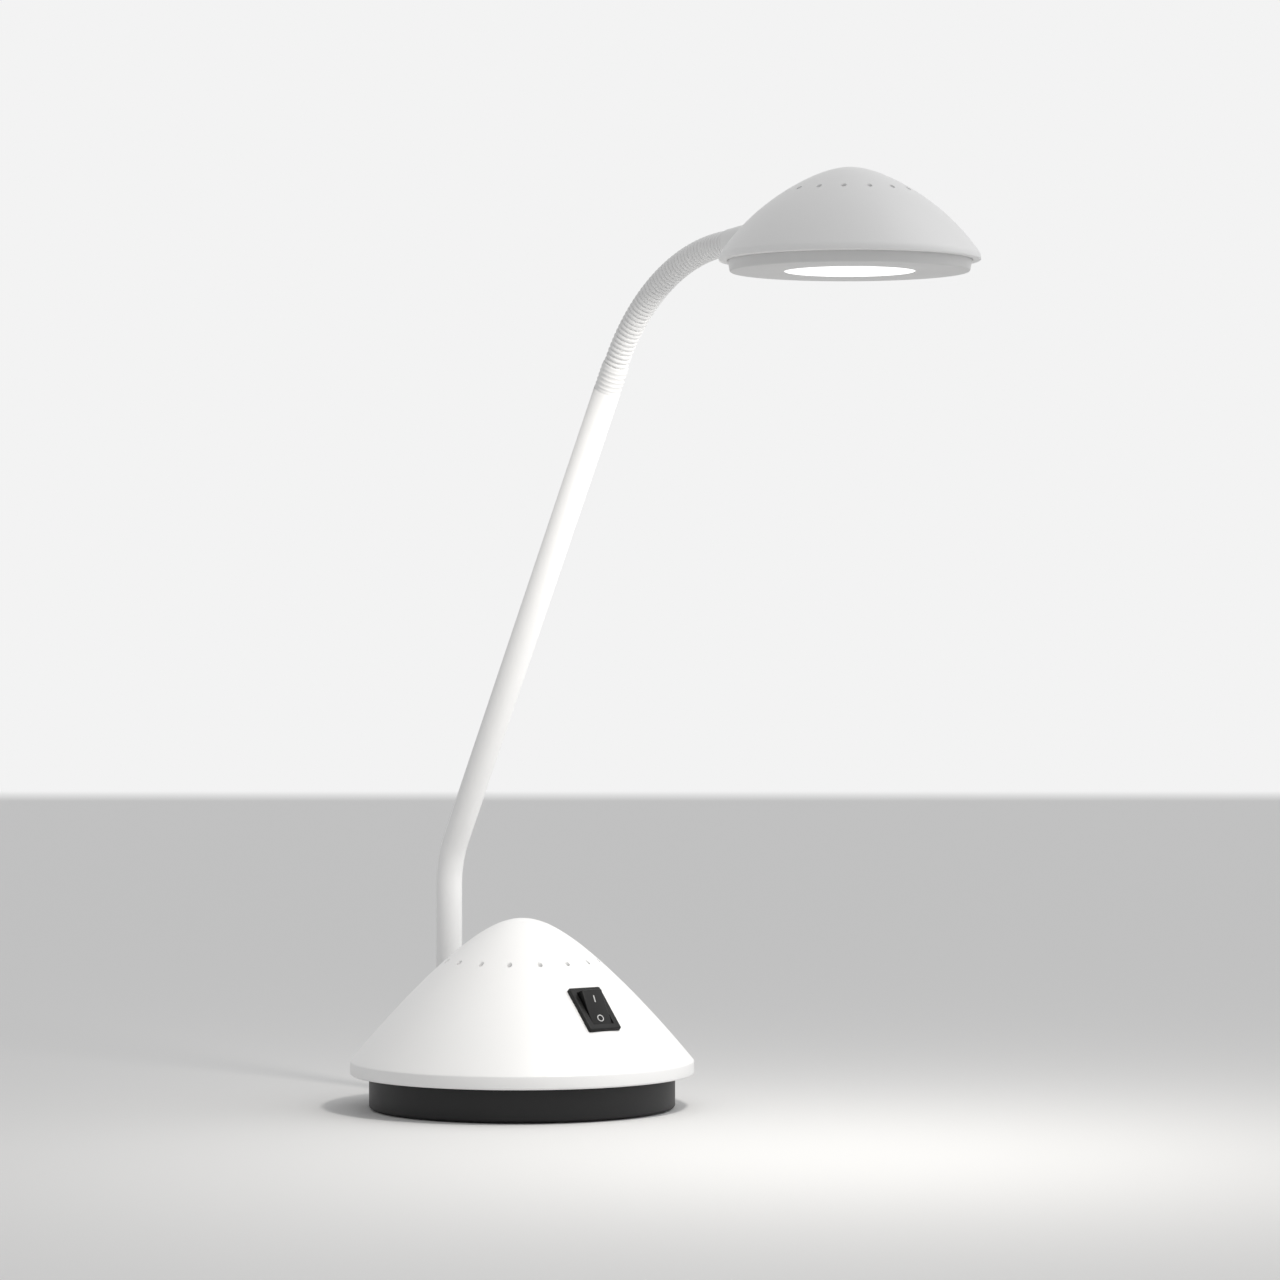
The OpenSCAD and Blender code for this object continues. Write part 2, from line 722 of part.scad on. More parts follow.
module switch_rocker() color([0.12, 0.12, 0.13]) on_switch() {
    translate([0, 0, pivot_z]) rotate([0, rocker_tilt, 0]) translate([0, 0, -pivot_z]) {
        translate([0, 0, pivot_z]) rotate([90, 0, 0]) translate([0, 0, -rocker_w / 2])
            intersection() {
                cylinder(h = rocker_w, r = rocker_r);
                rise = rocker_r * tan(rocker_vee);
                linear_extrude(rocker_w) polygon([
                    [-rocker_r, -rocker_low], [rocker_r, -rocker_low],
                    [rocker_r, rocker_rise + rise], [0, rocker_rise],
                    [-rocker_r, rocker_rise + rise]
                ]);
            }
        pin_bar(rocker_pin_r, rocker_w / 2 + pin_reach);
    }
}

module switch_terminals() color([0.8, 0.65, 0.3]) on_switch() {
    for (x = [-terminal_x, terminal_x])
        translate([x - terminal_t / 2, -terminal_w / 2, -seat_depth - switch_depth - terminal_l])
            cube([terminal_t, terminal_w, terminal_l]);
}

module switch_leads() color([0.15, 0.3, 0.6]) {
    low = -seat_depth - switch_depth - terminal_l - crimp_r;
    for (s = [-1, 1]) {
        end = switch_pos + [s * terminal_x * cos(switch_lean) + low * sin(switch_lean),
                            0, -s * terminal_x * sin(switch_lean) + low * cos(switch_lean)];
        translate(end) sphere(r = crimp_r, $fn = 24);
        rod(end, [mains_block_x + block_l / 2 + lead_clear, s * wire_y, lead_z], wire_r);
    }
}

// ---- Arm -----------------------------------------------------------------

module arm_socket() color([0.6, 0.6, 0.62]) {
    top = floor_z + socket_h;
    difference() {
        intersection() {
            translate([-arm_foot_x, 0, floor_z]) cylinder(h = socket_h, r = socket_r);
            cylinder(h = top, r = pan_in_r - socket_clear);
        }
        translate([-arm_foot_x, 0, tube_foot_z]) cylinder(h = top, r = tube_r + foot_play);
        translate([-arm_foot_x, 0, lead_z]) rotate([0, 90, 0])
            cylinder(h = socket_r + 1, r = lead_hole_r);
        translate([-arm_foot_x, 0, set_screw_z]) rotate([-90, 0, 0])
            cylinder(h = socket_r + 1, r = set_screw_r + thread_play);
    }
}

module arm_set_screw() color("dimgray") {
    translate([-arm_foot_x, tube_r, set_screw_z]) rotate([-90, 0, 0]) difference() {
        cylinder(h = socket_r - tube_r + 1, r = set_screw_r, $fn = 32);
        translate([0, 0, socket_r - tube_r - 1]) cylinder(h = 3, r = 1.1, $fn = 6);
    }
}

module arm_tube() color("white") {
    difference() {
        arm_run(tube_r, tube_foot_z, 0);
        arm_run(tube_bore_r, tube_foot_z - 1, 1);
        translate([-arm_foot_x, 0, lead_z]) rotate([0, 90, 0])
            cylinder(h = tube_r + 1, r = lead_hole_r);
    }
}

module arm_lead() color([0.9, 0.9, 0.9]) {
    from = arm_block_x - block_l / 2;
    turn_x = lead_turn_r - arm_foot_x;
    arm_run(lead_r, lead_z + lead_turn_r - lap, collar_l + half_l - lead_gap / 2);
    translate([turn_x - lap, 0, lead_z]) rotate([0, 90, 0])
        cylinder(h = from - turn_x + lap, r = lead_r);
    translate([turn_x, 0, lead_z + lead_turn_r]) bend(lead_turn_r, lead_r, 180, 270);
}

// ---- Neck ----------------------------------------------------------------

module neck_collar() color("white") {
    pitch = collar_l / (collar_ribs + 1);
    on_neck(0) translate([0, 0, -collar_l]) difference() {
        rotate_extrude() polygon(concat(
            [[shank_r + shank_play, 0], [tube_r, 0]],
            [for (i = [1:collar_ribs], p = [[collar_r, -0.45], [tube_r, -0.1], [tube_r, 0.1],
                                            [collar_r, 0.45]])
                [p[0], i * pitch + p[1]]],
            [[collar_r, collar_l - 0.4], [collar_r - 0.4, collar_l],
             [shank_r + shank_play, collar_l]]
        ));
    }
}

module neck_foot() color("white") on_neck(0) {
    difference() {
        union() {
            ribbed(0, half_l - link_gap / 2,
                   [half_l - rib_first - rib_pitch, half_l - rib_first]);
            translate([0, 0, -collar_l - shank_l]) cylinder(h = collar_l + shank_l + eps, r = shank_r);
            translate([0, 0, half_l]) neck_ball();
        }
        translate([0, 0, -collar_l - shank_l - 1])
            cylinder(h = collar_l + shank_l + half_l + 1 + eps, r = neck_bore_r);
        translate([0, 0, half_l]) bore_flare();
    }
}

module neck_link(k) color("white") on_neck(k) {
    difference() {
        union() {
            ribbed(link_gap / 2, link_l - link_gap / 2,
                   [for (i = [0:rib_count - 1]) rib_first + i * rib_pitch]);
            translate([0, 0, link_l]) neck_ball();
        }
        neck_cup();
        cylinder(h = link_l + eps, r = neck_bore_r);
        translate([0, 0, link_l]) bore_flare();
    }
}

module neck_lead(k) color([0.9, 0.9, 0.9]) on_neck(k) {
    translate([0, 0, lead_gap / 2]) cylinder(h = link_l - lead_gap, r = lead_r);
}

module neck_tip() color("white") on_neck(tip) {
    difference() {
        union() {
            ribbed(link_gap / 2, half_l + cuff_l,
                   [for (i = [0:cuff_ribs + 1]) rib_first + i * rib_pitch]);
            translate([0, 0, half_l]) cylinder(h = tip_shank_l, r = shank_r);
        }
        neck_cup();
        cylinder(h = half_l + tip_shank_l + 1, r = neck_bore_r);
    }
}

module neck_nut() color("silver") on_neck(tip) {
    translate([0, 0, half_l + boss_l]) difference() {
        cylinder(h = nut_t, r = nut_r, $fn = 6);
        translate([0, 0, -1]) cylinder(h = nut_t + 2, r = shank_r + shank_play);
    }
}

// ---- Head ----------------------------------------------------------------

module head_solid() {
    rotate_extrude() polygon(concat(
        [[0, head_rim_z], [head_rim_r - 0.5, head_rim_z], [head_rim_r, head_rim_z + 0.5]],
        [for (i = [steps:-1:0]) let (r = head_rim_r * i / steps) [r, head_z(r)]]
    ));
}

module head_hollow() {
    rotate_extrude() polygon(concat(
        [[0, head_rim_z - 1], [shell_in_r, head_rim_z - 1]],
        [for (i = [steps:-1:0]) let (r = shell_in_r * i / steps)
            [r, head_z(r) - head_wall * sqrt(1 + pow(head_steep(r), 2))]]
    ));
}

module head_shell() color("white") {
    difference() {
        union() {
            at_head() difference() {
                head_solid();
                head_hollow();
            }
            on_neck(tip) translate([0, 0, half_l + cuff_l])
                cylinder(h = boss_l - cuff_l, r1 = boss_r1, r2 = boss_r2);
            at_head() intersection() {
                translate([0, 0, -0.5]) head_solid();
                ring_of(head_boss_angles, plate_screw_pcr)
                    translate([0, 0, plate_top]) cylinder(h = head_top_z - plate_top, r = head_boss_r);
            }
        }
        on_neck(tip) translate([0, 0, half_l - 1])
            cylinder(h = boss_l + 2, r = shank_r + shank_play);
        at_head() {
            ring_of([for (i = [0:vents - 1]) i * 360 / vents], head_vent_r)
                translate([0, 0, plate_top]) cylinder(h = head_top_z - plate_top, d = vent_d, $fn = 24);
            ring_of(head_boss_angles, plate_screw_pcr)
                translate([0, 0, plate_top - 1])
                    cylinder(h = head_thread + 1, r = small_screw_r + thread_play);
        }
    }
}

module heat_spreader() color([0.75, 0.76, 0.78]) at_head() {
    difference() {
        union() {
            translate([0, 0, plate_z]) cylinder(h = plate_t, r = plate_r);
            intersection() {
                cylinder(h = plate_top + fin_h, r = fin_r);
                for (i = [0:fins - 1])
                    translate([-fin_r, (i - (fins - 1) / 2) * 2 * fin_r / fins - fin_t / 2,
                               plate_top - eps])
                        cube([2 * fin_r, fin_t, fin_h + eps]);
            }
        }
        translate([head_lead_x() - head_x, 0, plate_z - 1])
            cylinder(h = plate_t + 2, r = lead_r + 0.4, $fn = 32);
        ring_of(head_boss_angles, plate_screw_pcr)
            translate([0, 0, plate_z - 1]) cylinder(h = plate_t + 2, r = small_screw_r + hole_play);
    }
}

module spreader_screws() color("silver") at_head() {
    ring_of(head_boss_angles, plate_screw_pcr) translate([0, 0, plate_z])
        screw(small_screw_r, small_head_r, small_head_h, plate_t + head_thread - 1, $fn = 32);
}

module led_board() color([0.93, 0.93, 0.9]) at_head() {
    translate([0, 0, board_z]) cylinder(h = board_t, r = board_r);
}

module leds() color([0.95, 0.85, 0.35]) at_head() {
    for (ring = led_rings, i = [0:ring[1] - 1])
        rotate([0, 0, i * 360 / ring[1]])
            translate([ring[0] - led_s / 2, -led_s / 2, board_z - led_h])
                cube([led_s, led_s, led_h]);
}

module reflector() color([0.97, 0.97, 0.95]) at_head() {
    foot = diffuser_r + flange_d;
    rotate_extrude() polygon([
        [foot, flange_top], [foot, flange_top + 0.8], [diffuser_r + 0.2, flange_top + 0.8],
        [board_r - 1, board_z], [board_r - 2, board_z], [diffuser_r - 1, flange_top]
    ]);
}

module diffuser() color([1, 1, 1]) at_head() {
    inner_r = diffuser_r - 1.5;
    rotate_extrude() polygon([
        [0, diffuser_z], [diffuser_r - 0.3, diffuser_z], [diffuser_r, diffuser_z + 0.3],
        [diffuser_r, seat_z], [diffuser_r + flange_d, seat_z],
        [diffuser_r + flange_d, flange_top], [inner_r, flange_top],
        [inner_r, diffuser_z + diffuser_t], [0, diffuser_z + diffuser_t]
    ]);
}

module head_bezel() color([0.92, 0.92, 0.92]) at_head() {
    face_r = ring_r - ring_taper;
    open_r = diffuser_r + diffuser_play;
    rotate_extrude() polygon([
        [open_r, ring_face_z], [face_r - 0.9, ring_face_z], [face_r, ring_face_z + 0.9],
        [ring_r, head_rim_z], [ring_r, ring_top_z], [ring_r - ring_wall, ring_top_z],
        [ring_r - ring_wall, seat_z], [open_r, seat_z]
    ]);
    ring_of(clip_angles, plate_r + clip_play) {
        translate([0, -clip_w / 2, seat_z - eps])
            cube([clip_t, clip_w, plate_top + clip_play + 1 - seat_z]);
        translate([-1.2, -clip_w / 2, plate_top + clip_play]) cube([1.2 + clip_t, clip_w, 1]);
    }
}

// Where the head's lead starts to turn down, and where it then comes down.
function head_lead_out() = neck_end + (tip_shank_l + head_lead_run) * along(tip);
function head_lead_x() = head_lead_out()[0] + head_lead_turn * (1 + sin(elevation(tip)));

module head_lead() color([0.9, 0.9, 0.9]) {
    e = elevation(tip);
    out = head_lead_out();
    turn = out - head_lead_turn * [-sin(e), 0, cos(e)];
    on_neck(tip) translate([0, 0, lead_gap / 2])
        cylinder(h = half_l + tip_shank_l + head_lead_run + lap - lead_gap / 2, r = lead_r);
    translate(turn) bend(head_lead_turn, lead_r, 0, 90 + e);
    translate([head_lead_x(), 0, plate_z]) cylinder(h = turn[2] + lap - plate_z, r = lead_r);
}

// ---- Assembly ------------------------------------------------------------

base_cover();
base_pan();
foot_pad();
ballast_weight();
cover_screws();
driver_tray();
tray_screws();
driver_board();
board_screws();
driver_transformer();
driver_capacitors();
driver_terminals();
switch_housing();
switch_rocker();
switch_terminals();
switch_leads();
inlet_grommet();
arm_socket();
arm_set_screw();
arm_tube();
arm_lead();
neck_collar();
neck_foot();
neck_link(1);  // neck_link_1
neck_link(2);  // neck_link_2
neck_link(3);  // neck_link_3
neck_link(4);  // neck_link_4
neck_link(5);  // neck_link_5
neck_link(6);  // neck_link_6
neck_link(7);  // neck_link_7
neck_link(8);  // neck_link_8
neck_link(9);  // neck_link_9
neck_lead(1);  // neck_lead_1
neck_lead(2);  // neck_lead_2
neck_lead(3);  // neck_lead_3
neck_lead(4);  // neck_lead_4
neck_lead(5);  // neck_lead_5
neck_lead(6);  // neck_lead_6
neck_lead(7);  // neck_lead_7
neck_lead(8);  // neck_lead_8
neck_lead(9);  // neck_lead_9
neck_tip();
neck_nut();
head_shell();
heat_spreader();
spreader_screws();
led_board();
leds();
reflector();
diffuser();
head_bezel();
head_lead();
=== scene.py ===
"""Looks of a gooseneck desk lamp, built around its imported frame.

The lamp has a domed white base on a dark plinth, a bent tube arm, a ribbed flexible neck and a
domed head with a lit round diffuser. Sizes are in millimetres in the frame's own axes, and each
piece is scaled to metres when its mesh is done.
"""

from __future__ import annotations

import json
import logging
import math
from dataclasses import dataclass, replace
from enum import Enum
from typing import Any, Iterable, Mapping, Sequence

import bmesh
import bpy
from mathutils import Matrix, Vector

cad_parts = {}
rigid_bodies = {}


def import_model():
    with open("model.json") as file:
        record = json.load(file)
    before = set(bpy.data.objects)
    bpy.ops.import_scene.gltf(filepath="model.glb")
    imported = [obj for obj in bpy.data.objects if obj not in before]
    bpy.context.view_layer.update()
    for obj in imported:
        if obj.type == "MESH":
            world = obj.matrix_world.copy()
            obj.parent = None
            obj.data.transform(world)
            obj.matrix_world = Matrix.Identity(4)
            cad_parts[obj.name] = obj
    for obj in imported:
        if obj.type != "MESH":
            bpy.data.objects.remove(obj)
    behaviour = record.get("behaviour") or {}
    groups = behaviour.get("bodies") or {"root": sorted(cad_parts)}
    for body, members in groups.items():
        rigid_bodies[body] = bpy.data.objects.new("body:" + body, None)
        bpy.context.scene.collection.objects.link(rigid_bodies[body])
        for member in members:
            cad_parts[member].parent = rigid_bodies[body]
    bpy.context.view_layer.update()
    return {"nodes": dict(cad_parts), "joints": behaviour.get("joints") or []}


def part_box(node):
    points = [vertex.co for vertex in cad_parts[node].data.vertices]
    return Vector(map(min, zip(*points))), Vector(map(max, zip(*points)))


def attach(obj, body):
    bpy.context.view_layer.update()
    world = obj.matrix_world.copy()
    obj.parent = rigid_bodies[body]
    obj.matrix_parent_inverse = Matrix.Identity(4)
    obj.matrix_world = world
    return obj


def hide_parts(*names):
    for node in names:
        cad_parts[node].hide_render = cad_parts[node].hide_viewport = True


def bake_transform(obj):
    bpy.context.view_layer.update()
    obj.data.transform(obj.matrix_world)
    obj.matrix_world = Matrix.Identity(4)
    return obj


LOG = logging.getLogger("desk_lamp")
MM = 0.001
FULL_TURN = math.tau
CREASE_DEG = 32.0


# ---- Materials -------------------------------------------------------------------------------


class Grain(Enum):
    """How a finish's fine relief was made."""

    SPARK = "spark-eroded mould texture"
    ORANGE_PEEL = "levelled powder coat"
    CAST = "sand-cast skin"
    BRUSHED = "drawn or brushed lines"
    FOAM = "cut foam cells"
    WOUND = "turns of tape or wire"
    TRACKS = "copper tracks under a mask"


# Each grain's texture, the output that is its height, its inputs and its settings.
RELIEFS: dict[Grain, tuple[str, int | str, dict[str, float], dict[str, str]]] = {
    Grain.SPARK: ("Noise", 0, {"Detail": 2.0}, {}),
    Grain.ORANGE_PEEL: ("Noise", 0, {"Detail": 0.0}, {}),
    Grain.CAST: ("Noise", 0, {"Detail": 5.0}, {}),
    Grain.BRUSHED: ("Noise", 0, {"Detail": 3.0}, {}),
    Grain.FOAM: ("Voronoi", "Distance", {}, {}),
    Grain.WOUND: ("Wave", "Fac", {"Distortion": 0.3}, {"bands_direction": "Z"}),
    Grain.TRACKS: ("Brick", "Fac", {"Mortar Size": 0.06}, {}),
}
# Drawn lines are this much finer along than across.
DRAWN_STRETCH = 0.02


def linear(hex_colour: str) -> tuple[float, float, float, float]:
    """Turn an sRGB hex colour into linear RGBA.

    Args:
        hex_colour: Six hex digits, such as "F2F2F0".

    Returns:
        Red, green, blue and an alpha of 1.
    """
    values = [int(hex_colour[i : i + 2], 16) / 255 for i in (0, 2, 4)]
    red, green, blue = (
        v / 12.92 if v <= 0.04045 else ((v + 0.055) / 1.055) ** 2.4 for v in values
    )
    return red, green, blue, 1.0


def add_node(
    tree: bpy.types.NodeTree, kind: str, inputs: Mapping[str | int, Any], **settings: Any
) -> bpy.types.Node:
    """Add a node, set it up and link it.

    Args:
        tree: The node tree to add to.
        kind: The node's Blender type.
        inputs: Socket names or numbers, each with a value or the output to link from.
        **settings: The node's own properties.

    Returns:
        The new node.
    """
    made = tree.nodes.new(kind)
    for name, value in settings.items():
        setattr(made, name, value)
    for socket, value in inputs.items():
        if isinstance(value, bpy.types.NodeSocket):
            tree.links.new(value, made.inputs[socket])
        else:
            made.inputs[socket].default_value = value
    return made


@dataclass(frozen=True)
class Finish:
    """A surface: its colour, gloss and fine relief.

    Attributes:
        name: The finish in a maker's words.
        colour: Its colour as sRGB hex.
        roughness: Its mean roughness.
        grain: What its fine relief is.
        grain_mm: The relief's size across.
        depth_mm: The relief's depth.
        second_colour: The colour that it drifts to in patches.
        patch_mm: The size of those patches.
        gloss_spread: How far the roughness drifts each way.
        metallic: 1 for bare metal.
        ior: Index of refraction, 1.5 for most plastics and lacquers.
        coat: Weight of a clear layer on top.
        centre: Middle of a pattern that belongs to one place.
        turn: Direction of drawn lines, as Euler angles in degrees.
    """

    name: str
    colour: str
    roughness: float
    grain: Grain
    grain_mm: float
    depth_mm: float
    second_colour: str
    patch_mm: float = 18.0
    gloss_spread: float = 0.04
    metallic: float = 0.0
    ior: float = 1.5
    coat: float = 0.0
    centre: tuple[float, float, float] = (0.0, 0.0, 0.0)
    turn: tuple[float, float, float] = (0.0, 0.0, 0.0)

    def height(
        self, tree: bpy.types.NodeTree, coords: bpy.types.NodeSocket
    ) -> bpy.types.NodeSocket:
        """Add the nodes of the fine relief.

        Args:
            tree: The material's node tree.
            coords: The coordinates that the pattern follows, in metres.

        Returns:
            A socket with the relief's height from 0 to 1.
        """
        scale = 1.0 / (self.grain_mm * MM)
        if self.grain is Grain.BRUSHED:
            drawn = {"Vector": coords, "Scale": (DRAWN_STRETCH, 1.0, 1.0)}
            coords = add_node(tree, "ShaderNodeMapping", drawn).outputs[0]
        if self.grain is Grain.WOUND:
            scale /= math.tau
        kind, output, inputs, settings = RELIEFS[self.grain]
        inputs = {"Vector": coords, "Scale": scale, **inputs}
        return add_node(tree, "ShaderNodeTex" + kind, inputs, **settings).outputs[output]

    def shade(
        self, tree: bpy.types.NodeTree, shader: bpy.types.Node, coords: bpy.types.NodeSocket
    ) -> None:
        """Set what only some finishes have; a plain finish adds nothing."""

    def build(self) -> bpy.types.Material:
        """Make the material, or find it if it is already made.

        Returns:
            The material.
        """
        known = bpy.data.materials.get(self.name)
        if known:
            return known
        material = bpy.data.materials.new(self.name)
        material.use_nodes = True
        tree = material.node_tree
        shader = tree.nodes["Principled BSDF"]
        where = add_node(tree, "ShaderNodeTexCoord", {})
        placing = {
            "Vector": where.outputs["Object"],
            "Location": tuple(-c * MM for c in self.centre),
            "Rotation": tuple(math.radians(a) for a in self.turn),
        }
        coords = add_node(tree, "ShaderNodeMapping", placing).outputs[0]
        drift = {"Vector": coords, "Scale": 1.0 / (self.patch_mm * MM), "Detail": 3.0}
        patches = add_node(tree, "ShaderNodeTexNoise", drift).outputs[0]
        colours = {0: patches, 6: linear(self.colour), 7: linear(self.second_colour)}
        tint = add_node(tree, "ShaderNodeMix", colours, data_type="RGBA")
        spread = {
            "Value": patches,
            "To Min": self.roughness - self.gloss_spread,
            "To Max": self.roughness + self.gloss_spread,
        }
        gloss = add_node(tree, "ShaderNodeMapRange", spread)
        bump = {"Height": self.height(tree, coords), "Distance": self.depth_mm * MM}
        relief = add_node(tree, "ShaderNodeBump", bump)
        tree.links.new(tint.outputs[2], shader.inputs["Base Color"])
        tree.links.new(gloss.outputs[0], shader.inputs["Roughness"])
        tree.links.new(relief.outputs[0], shader.inputs["Normal"])
        shader.inputs["Metallic"].default_value = self.metallic
        if not self.metallic:
            shader.inputs["IOR"].default_value = self.ior
        shader.inputs["Coat Weight"].default_value = self.coat
        self.shade(tree, shader, coords)
        return material


@dataclass(frozen=True)
class LitFinish(Finish):
    """An opal plastic that is lit from behind.

    Attributes:
        glow: Strength of the light at the middle.
        rim_glow: Strength of the light at the rim.
        glow_r: Radius of the lit disc.
        even_share: Share of that radius over which the light is even.
        glow_colour: Colour of the light.
    """

    glow: float = 1.0
    rim_glow: float = 0.9
    glow_r: float = 24.0
    even_share: float = 0.6
    glow_colour: str = "FFFFFF"

    def shade(
        self, tree: bpy.types.NodeTree, shader: bpy.types.Node, coords: bpy.types.NodeSocket
    ) -> None:
        """Let the light fall off a little towards the rim.

        Args:
            tree: The material's node tree.
            shader: Its main shader.
            coords: Coordinates centred on the disc.
        """
        level = {"Vector": coords, "Scale": (1.0, 1.0, 0.0)}
        flat = add_node(tree, "ShaderNodeMapping", level).outputs[0]
        out = add_node(tree, "ShaderNodeVectorMath", {0: flat}, operation="LENGTH")
        falloff = {
            "Value": out.outputs["Value"],
            "From Min": self.even_share * self.glow_r * MM,
            "From Max": self.glow_r * MM,
            "To Min": self.glow,
            "To Max": self.rim_glow,
        }
        power = add_node(tree, "ShaderNodeMapRange", falloff)
        shader.inputs["Emission Color"].default_value = linear(self.glow_colour)
        tree.links.new(power.outputs[0], shader.inputs["Emission Strength"])


# Moulded ABS from a spark-eroded tool: an even satin skin with a fine, soft grain. The real
# grain is about 0.1 mm, and is drawn as coarse as it has to be to show.
WHITE_ABS = Finish(
    "moulded white ABS", "F1F1F1", 0.42, Grain.SPARK, 0.55, 0.008, "EEEEEE", patch_mm=26.0
)
# The ring under the head, from a smoother tool. Its greyer white is painted shade, for the dimmer
# light under the head.
RING_ABS_PAINTED_SHADE = Finish(
    "smooth ABS greyed as painted shade", "DADADA", 0.38, Grain.SPARK, 0.5, 0.005, "D7D7D7", patch_mm=15.0
)
# Powder coat on a steel tube: a levelled film with the slight waves of orange peel.
POWDER_COAT = Finish(
    "white powder coat", "F2F2F2", 0.46, Grain.ORANGE_PEEL, 1.7, 0.022, "F0F0F0"
)
# Soft PVC sleeve moulded in rings: a dull, slightly wavy skin that hardly shines.
SLEEVE_PVC = Finish(
    "ribbed white PVC sleeve", "F5F5F5", 0.6, Grain.ORANGE_PEEL, 3.0, 0.008, "F0F0F0", patch_mm=9.0
)
# Black moulded ABS with a matt texture, greyish where the light grazes it.
PAN_ABS = Finish(
    "textured black ABS", "1B1B1C", 0.5, Grain.SPARK, 0.6, 0.02, "202021", patch_mm=14.0, ior=1.38
)
# Nylon of a switch: a fine satin skin, a little glossier than the pan.
SWITCH_NYLON = Finish(
    "satin black nylon", "131313", 0.45, Grain.SPARK, 0.45, 0.008, "171717", patch_mm=4.0, ior=1.3
)
ROCKER_NYLON = Finish(
    "smooth black nylon", "090909", 0.36, Grain.SPARK, 0.45, 0.005, "0C0C0C", patch_mm=4.0, ior=1.3
)
# Pad-printed ink: flat white, slightly thin in places.
PRINT_INK = Finish(
    "white print ink", "C8C8C8", 0.6, Grain.SPARK, 0.3, 0.003, "B6B6B6", patch_mm=0.8
)
# Opal acrylic that glows evenly, a touch weaker at the rim.
OPAL_ACRYLIC = LitFinish(
    "lit opal acrylic", "FBFBF8", 0.3, Grain.ORANGE_PEEL, 2.0, 0.004, "F8F8F5", glow=1.1
)
# Die-cut EVA foam: closed cells about 0.7 mm across.
EVA_FOAM = Finish("cut EVA foam", "2A2A2B", 0.85, Grain.FOAM, 0.7, 0.12, "323233")
MOULDED_RUBBER = Finish("moulded black rubber", "1C1C1D", 0.6, Grain.SPARK, 0.4, 0.01, "232324")
# Grey iron as cast: a rough dark skin.
CAST_IRON = Finish(
    "cast iron skin", "4A4A4C", 0.62, Grain.CAST, 1.6, 0.14, "3A3937", metallic=1.0
)
# Zinc-plated steel: bright, with a faint blue cast and drawn lines.
ZINC_PLATE = Finish(
    "zinc-plated steel", "B9BCC0", 0.3, Grain.BRUSHED, 0.25, 0.004, "A9ADB2", metallic=1.0
)
ZINC_CASTING = Finish(
    "die-cast zinc", "9C9FA3", 0.45, Grain.CAST, 0.9, 0.03, "8D9094", metallic=1.0
)
ALUMINIUM = Finish(
    "anodised aluminium", "C6C8CB", 0.34, Grain.BRUSHED, 0.3, 0.006, "BCBEC2", metallic=1.0
)
CREAM_PLASTIC = Finish("natural moulded nylon", "D8D5C8", 0.5, Grain.SPARK, 0.5, 0.01, "D0CDBF")
GREEN_MASK = Finish(
    "green solder mask", "16502F", 0.25, Grain.TRACKS, 9.0, 0.035, "12452A", coat=0.3
)
WHITE_MASK = Finish(
    "white solder mask", "ECEBE4", 0.3, Grain.TRACKS, 11.0, 0.035, "E4E3DB", coat=0.3
)
WINDING_TAPE = Finish("yellow winding tape", "D9A820", 0.32, Grain.WOUND, 1.1, 0.03, "CC9A1A")
SHRINK_SLEEVE = Finish("blue shrink sleeve", "23306B", 0.22, Grain.ORANGE_PEEL, 1.5, 0.01, "1D2859")
GREEN_BLOCK = Finish("green moulded nylon", "1E6B45", 0.4, Grain.SPARK, 0.5, 0.01, "1A5F3D")
BRASS = Finish(
    "tinned brass blade", "C9B277", 0.3, Grain.BRUSHED, 0.3, 0.004, "B99F60", metallic=1.0
)
BLUE_PVC = Finish("blue PVC insulation", "1E4FA0", 0.4, Grain.WOUND, 0.8, 0.01, "1A468F")
WHITE_PVC = Finish("white PVC insulation", "E6E6E2", 0.42, Grain.WOUND, 0.9, 0.01, "DDDDD8")
PHOSPHOR = LitFinish(
    "lit phosphor", "F2DC7A", 0.35, Grain.FOAM, 0.5, 0.02, "EBD268", glow=0.8, glow_colour="FFF4D8"
)
REFLECTOR_WHITE = Finish(
    "white reflector plastic", "F4F4F2", 0.5, Grain.SPARK, 0.5, 0.006, "F0F0EE"
)

# Finish and record slot of each node that keeps its own mesh.
INSIDE: dict[str, tuple[Finish, str]] = {
    "ballast_weight": (CAST_IRON, "ballast_iron"),
    "cover_screws": (ZINC_PLATE, "steel"),
    "driver_tray": (CREAM_PLASTIC, "cream_plastic"),
    "tray_screws": (ZINC_PLATE, "steel"),
    "driver_board": (GREEN_MASK, "green_board"),
    "board_screws": (ZINC_PLATE, "steel"),
    "driver_transformer": (WINDING_TAPE, "yellow_tape"),
    "driver_capacitors": (SHRINK_SLEEVE, "blue_sleeve"),
    "driver_terminals": (GREEN_BLOCK, "green_block"),
    "switch_terminals": (BRASS, "brass"),
    "switch_leads": (BLUE_PVC, "blue_wire"),
    "arm_socket": (ZINC_CASTING, "zinc_cast"),
    "arm_set_screw": (ZINC_PLATE, "steel"),
    "arm_lead": (WHITE_PVC, "white_wire"),
    "neck_nut": (ZINC_PLATE, "steel"),
    "heat_spreader": (ALUMINIUM, "aluminium"),
    "spreader_screws": (ZINC_PLATE, "steel"),
    "led_board": (WHITE_MASK, "white_board"),
    "leds": (PHOSPHOR, "led_yellow"),
    "reflector": (REFLECTOR_WHITE, "reflector_white"),
    "head_lead": (WHITE_PVC, "white_wire"),
}


def dress(obj: bpy.types.Object, finish: Finish) -> None:
    """Give an object one finish all over.

    Args:
        obj: The object.
        finish: Its finish.
    """
    material = finish.build()
    if not obj.material_slots:
        obj.data.materials.append(material)
    for slot in obj.material_slots:
        slot.material = material


# ---- Mesh helpers ----------------------------------------------------------------------------


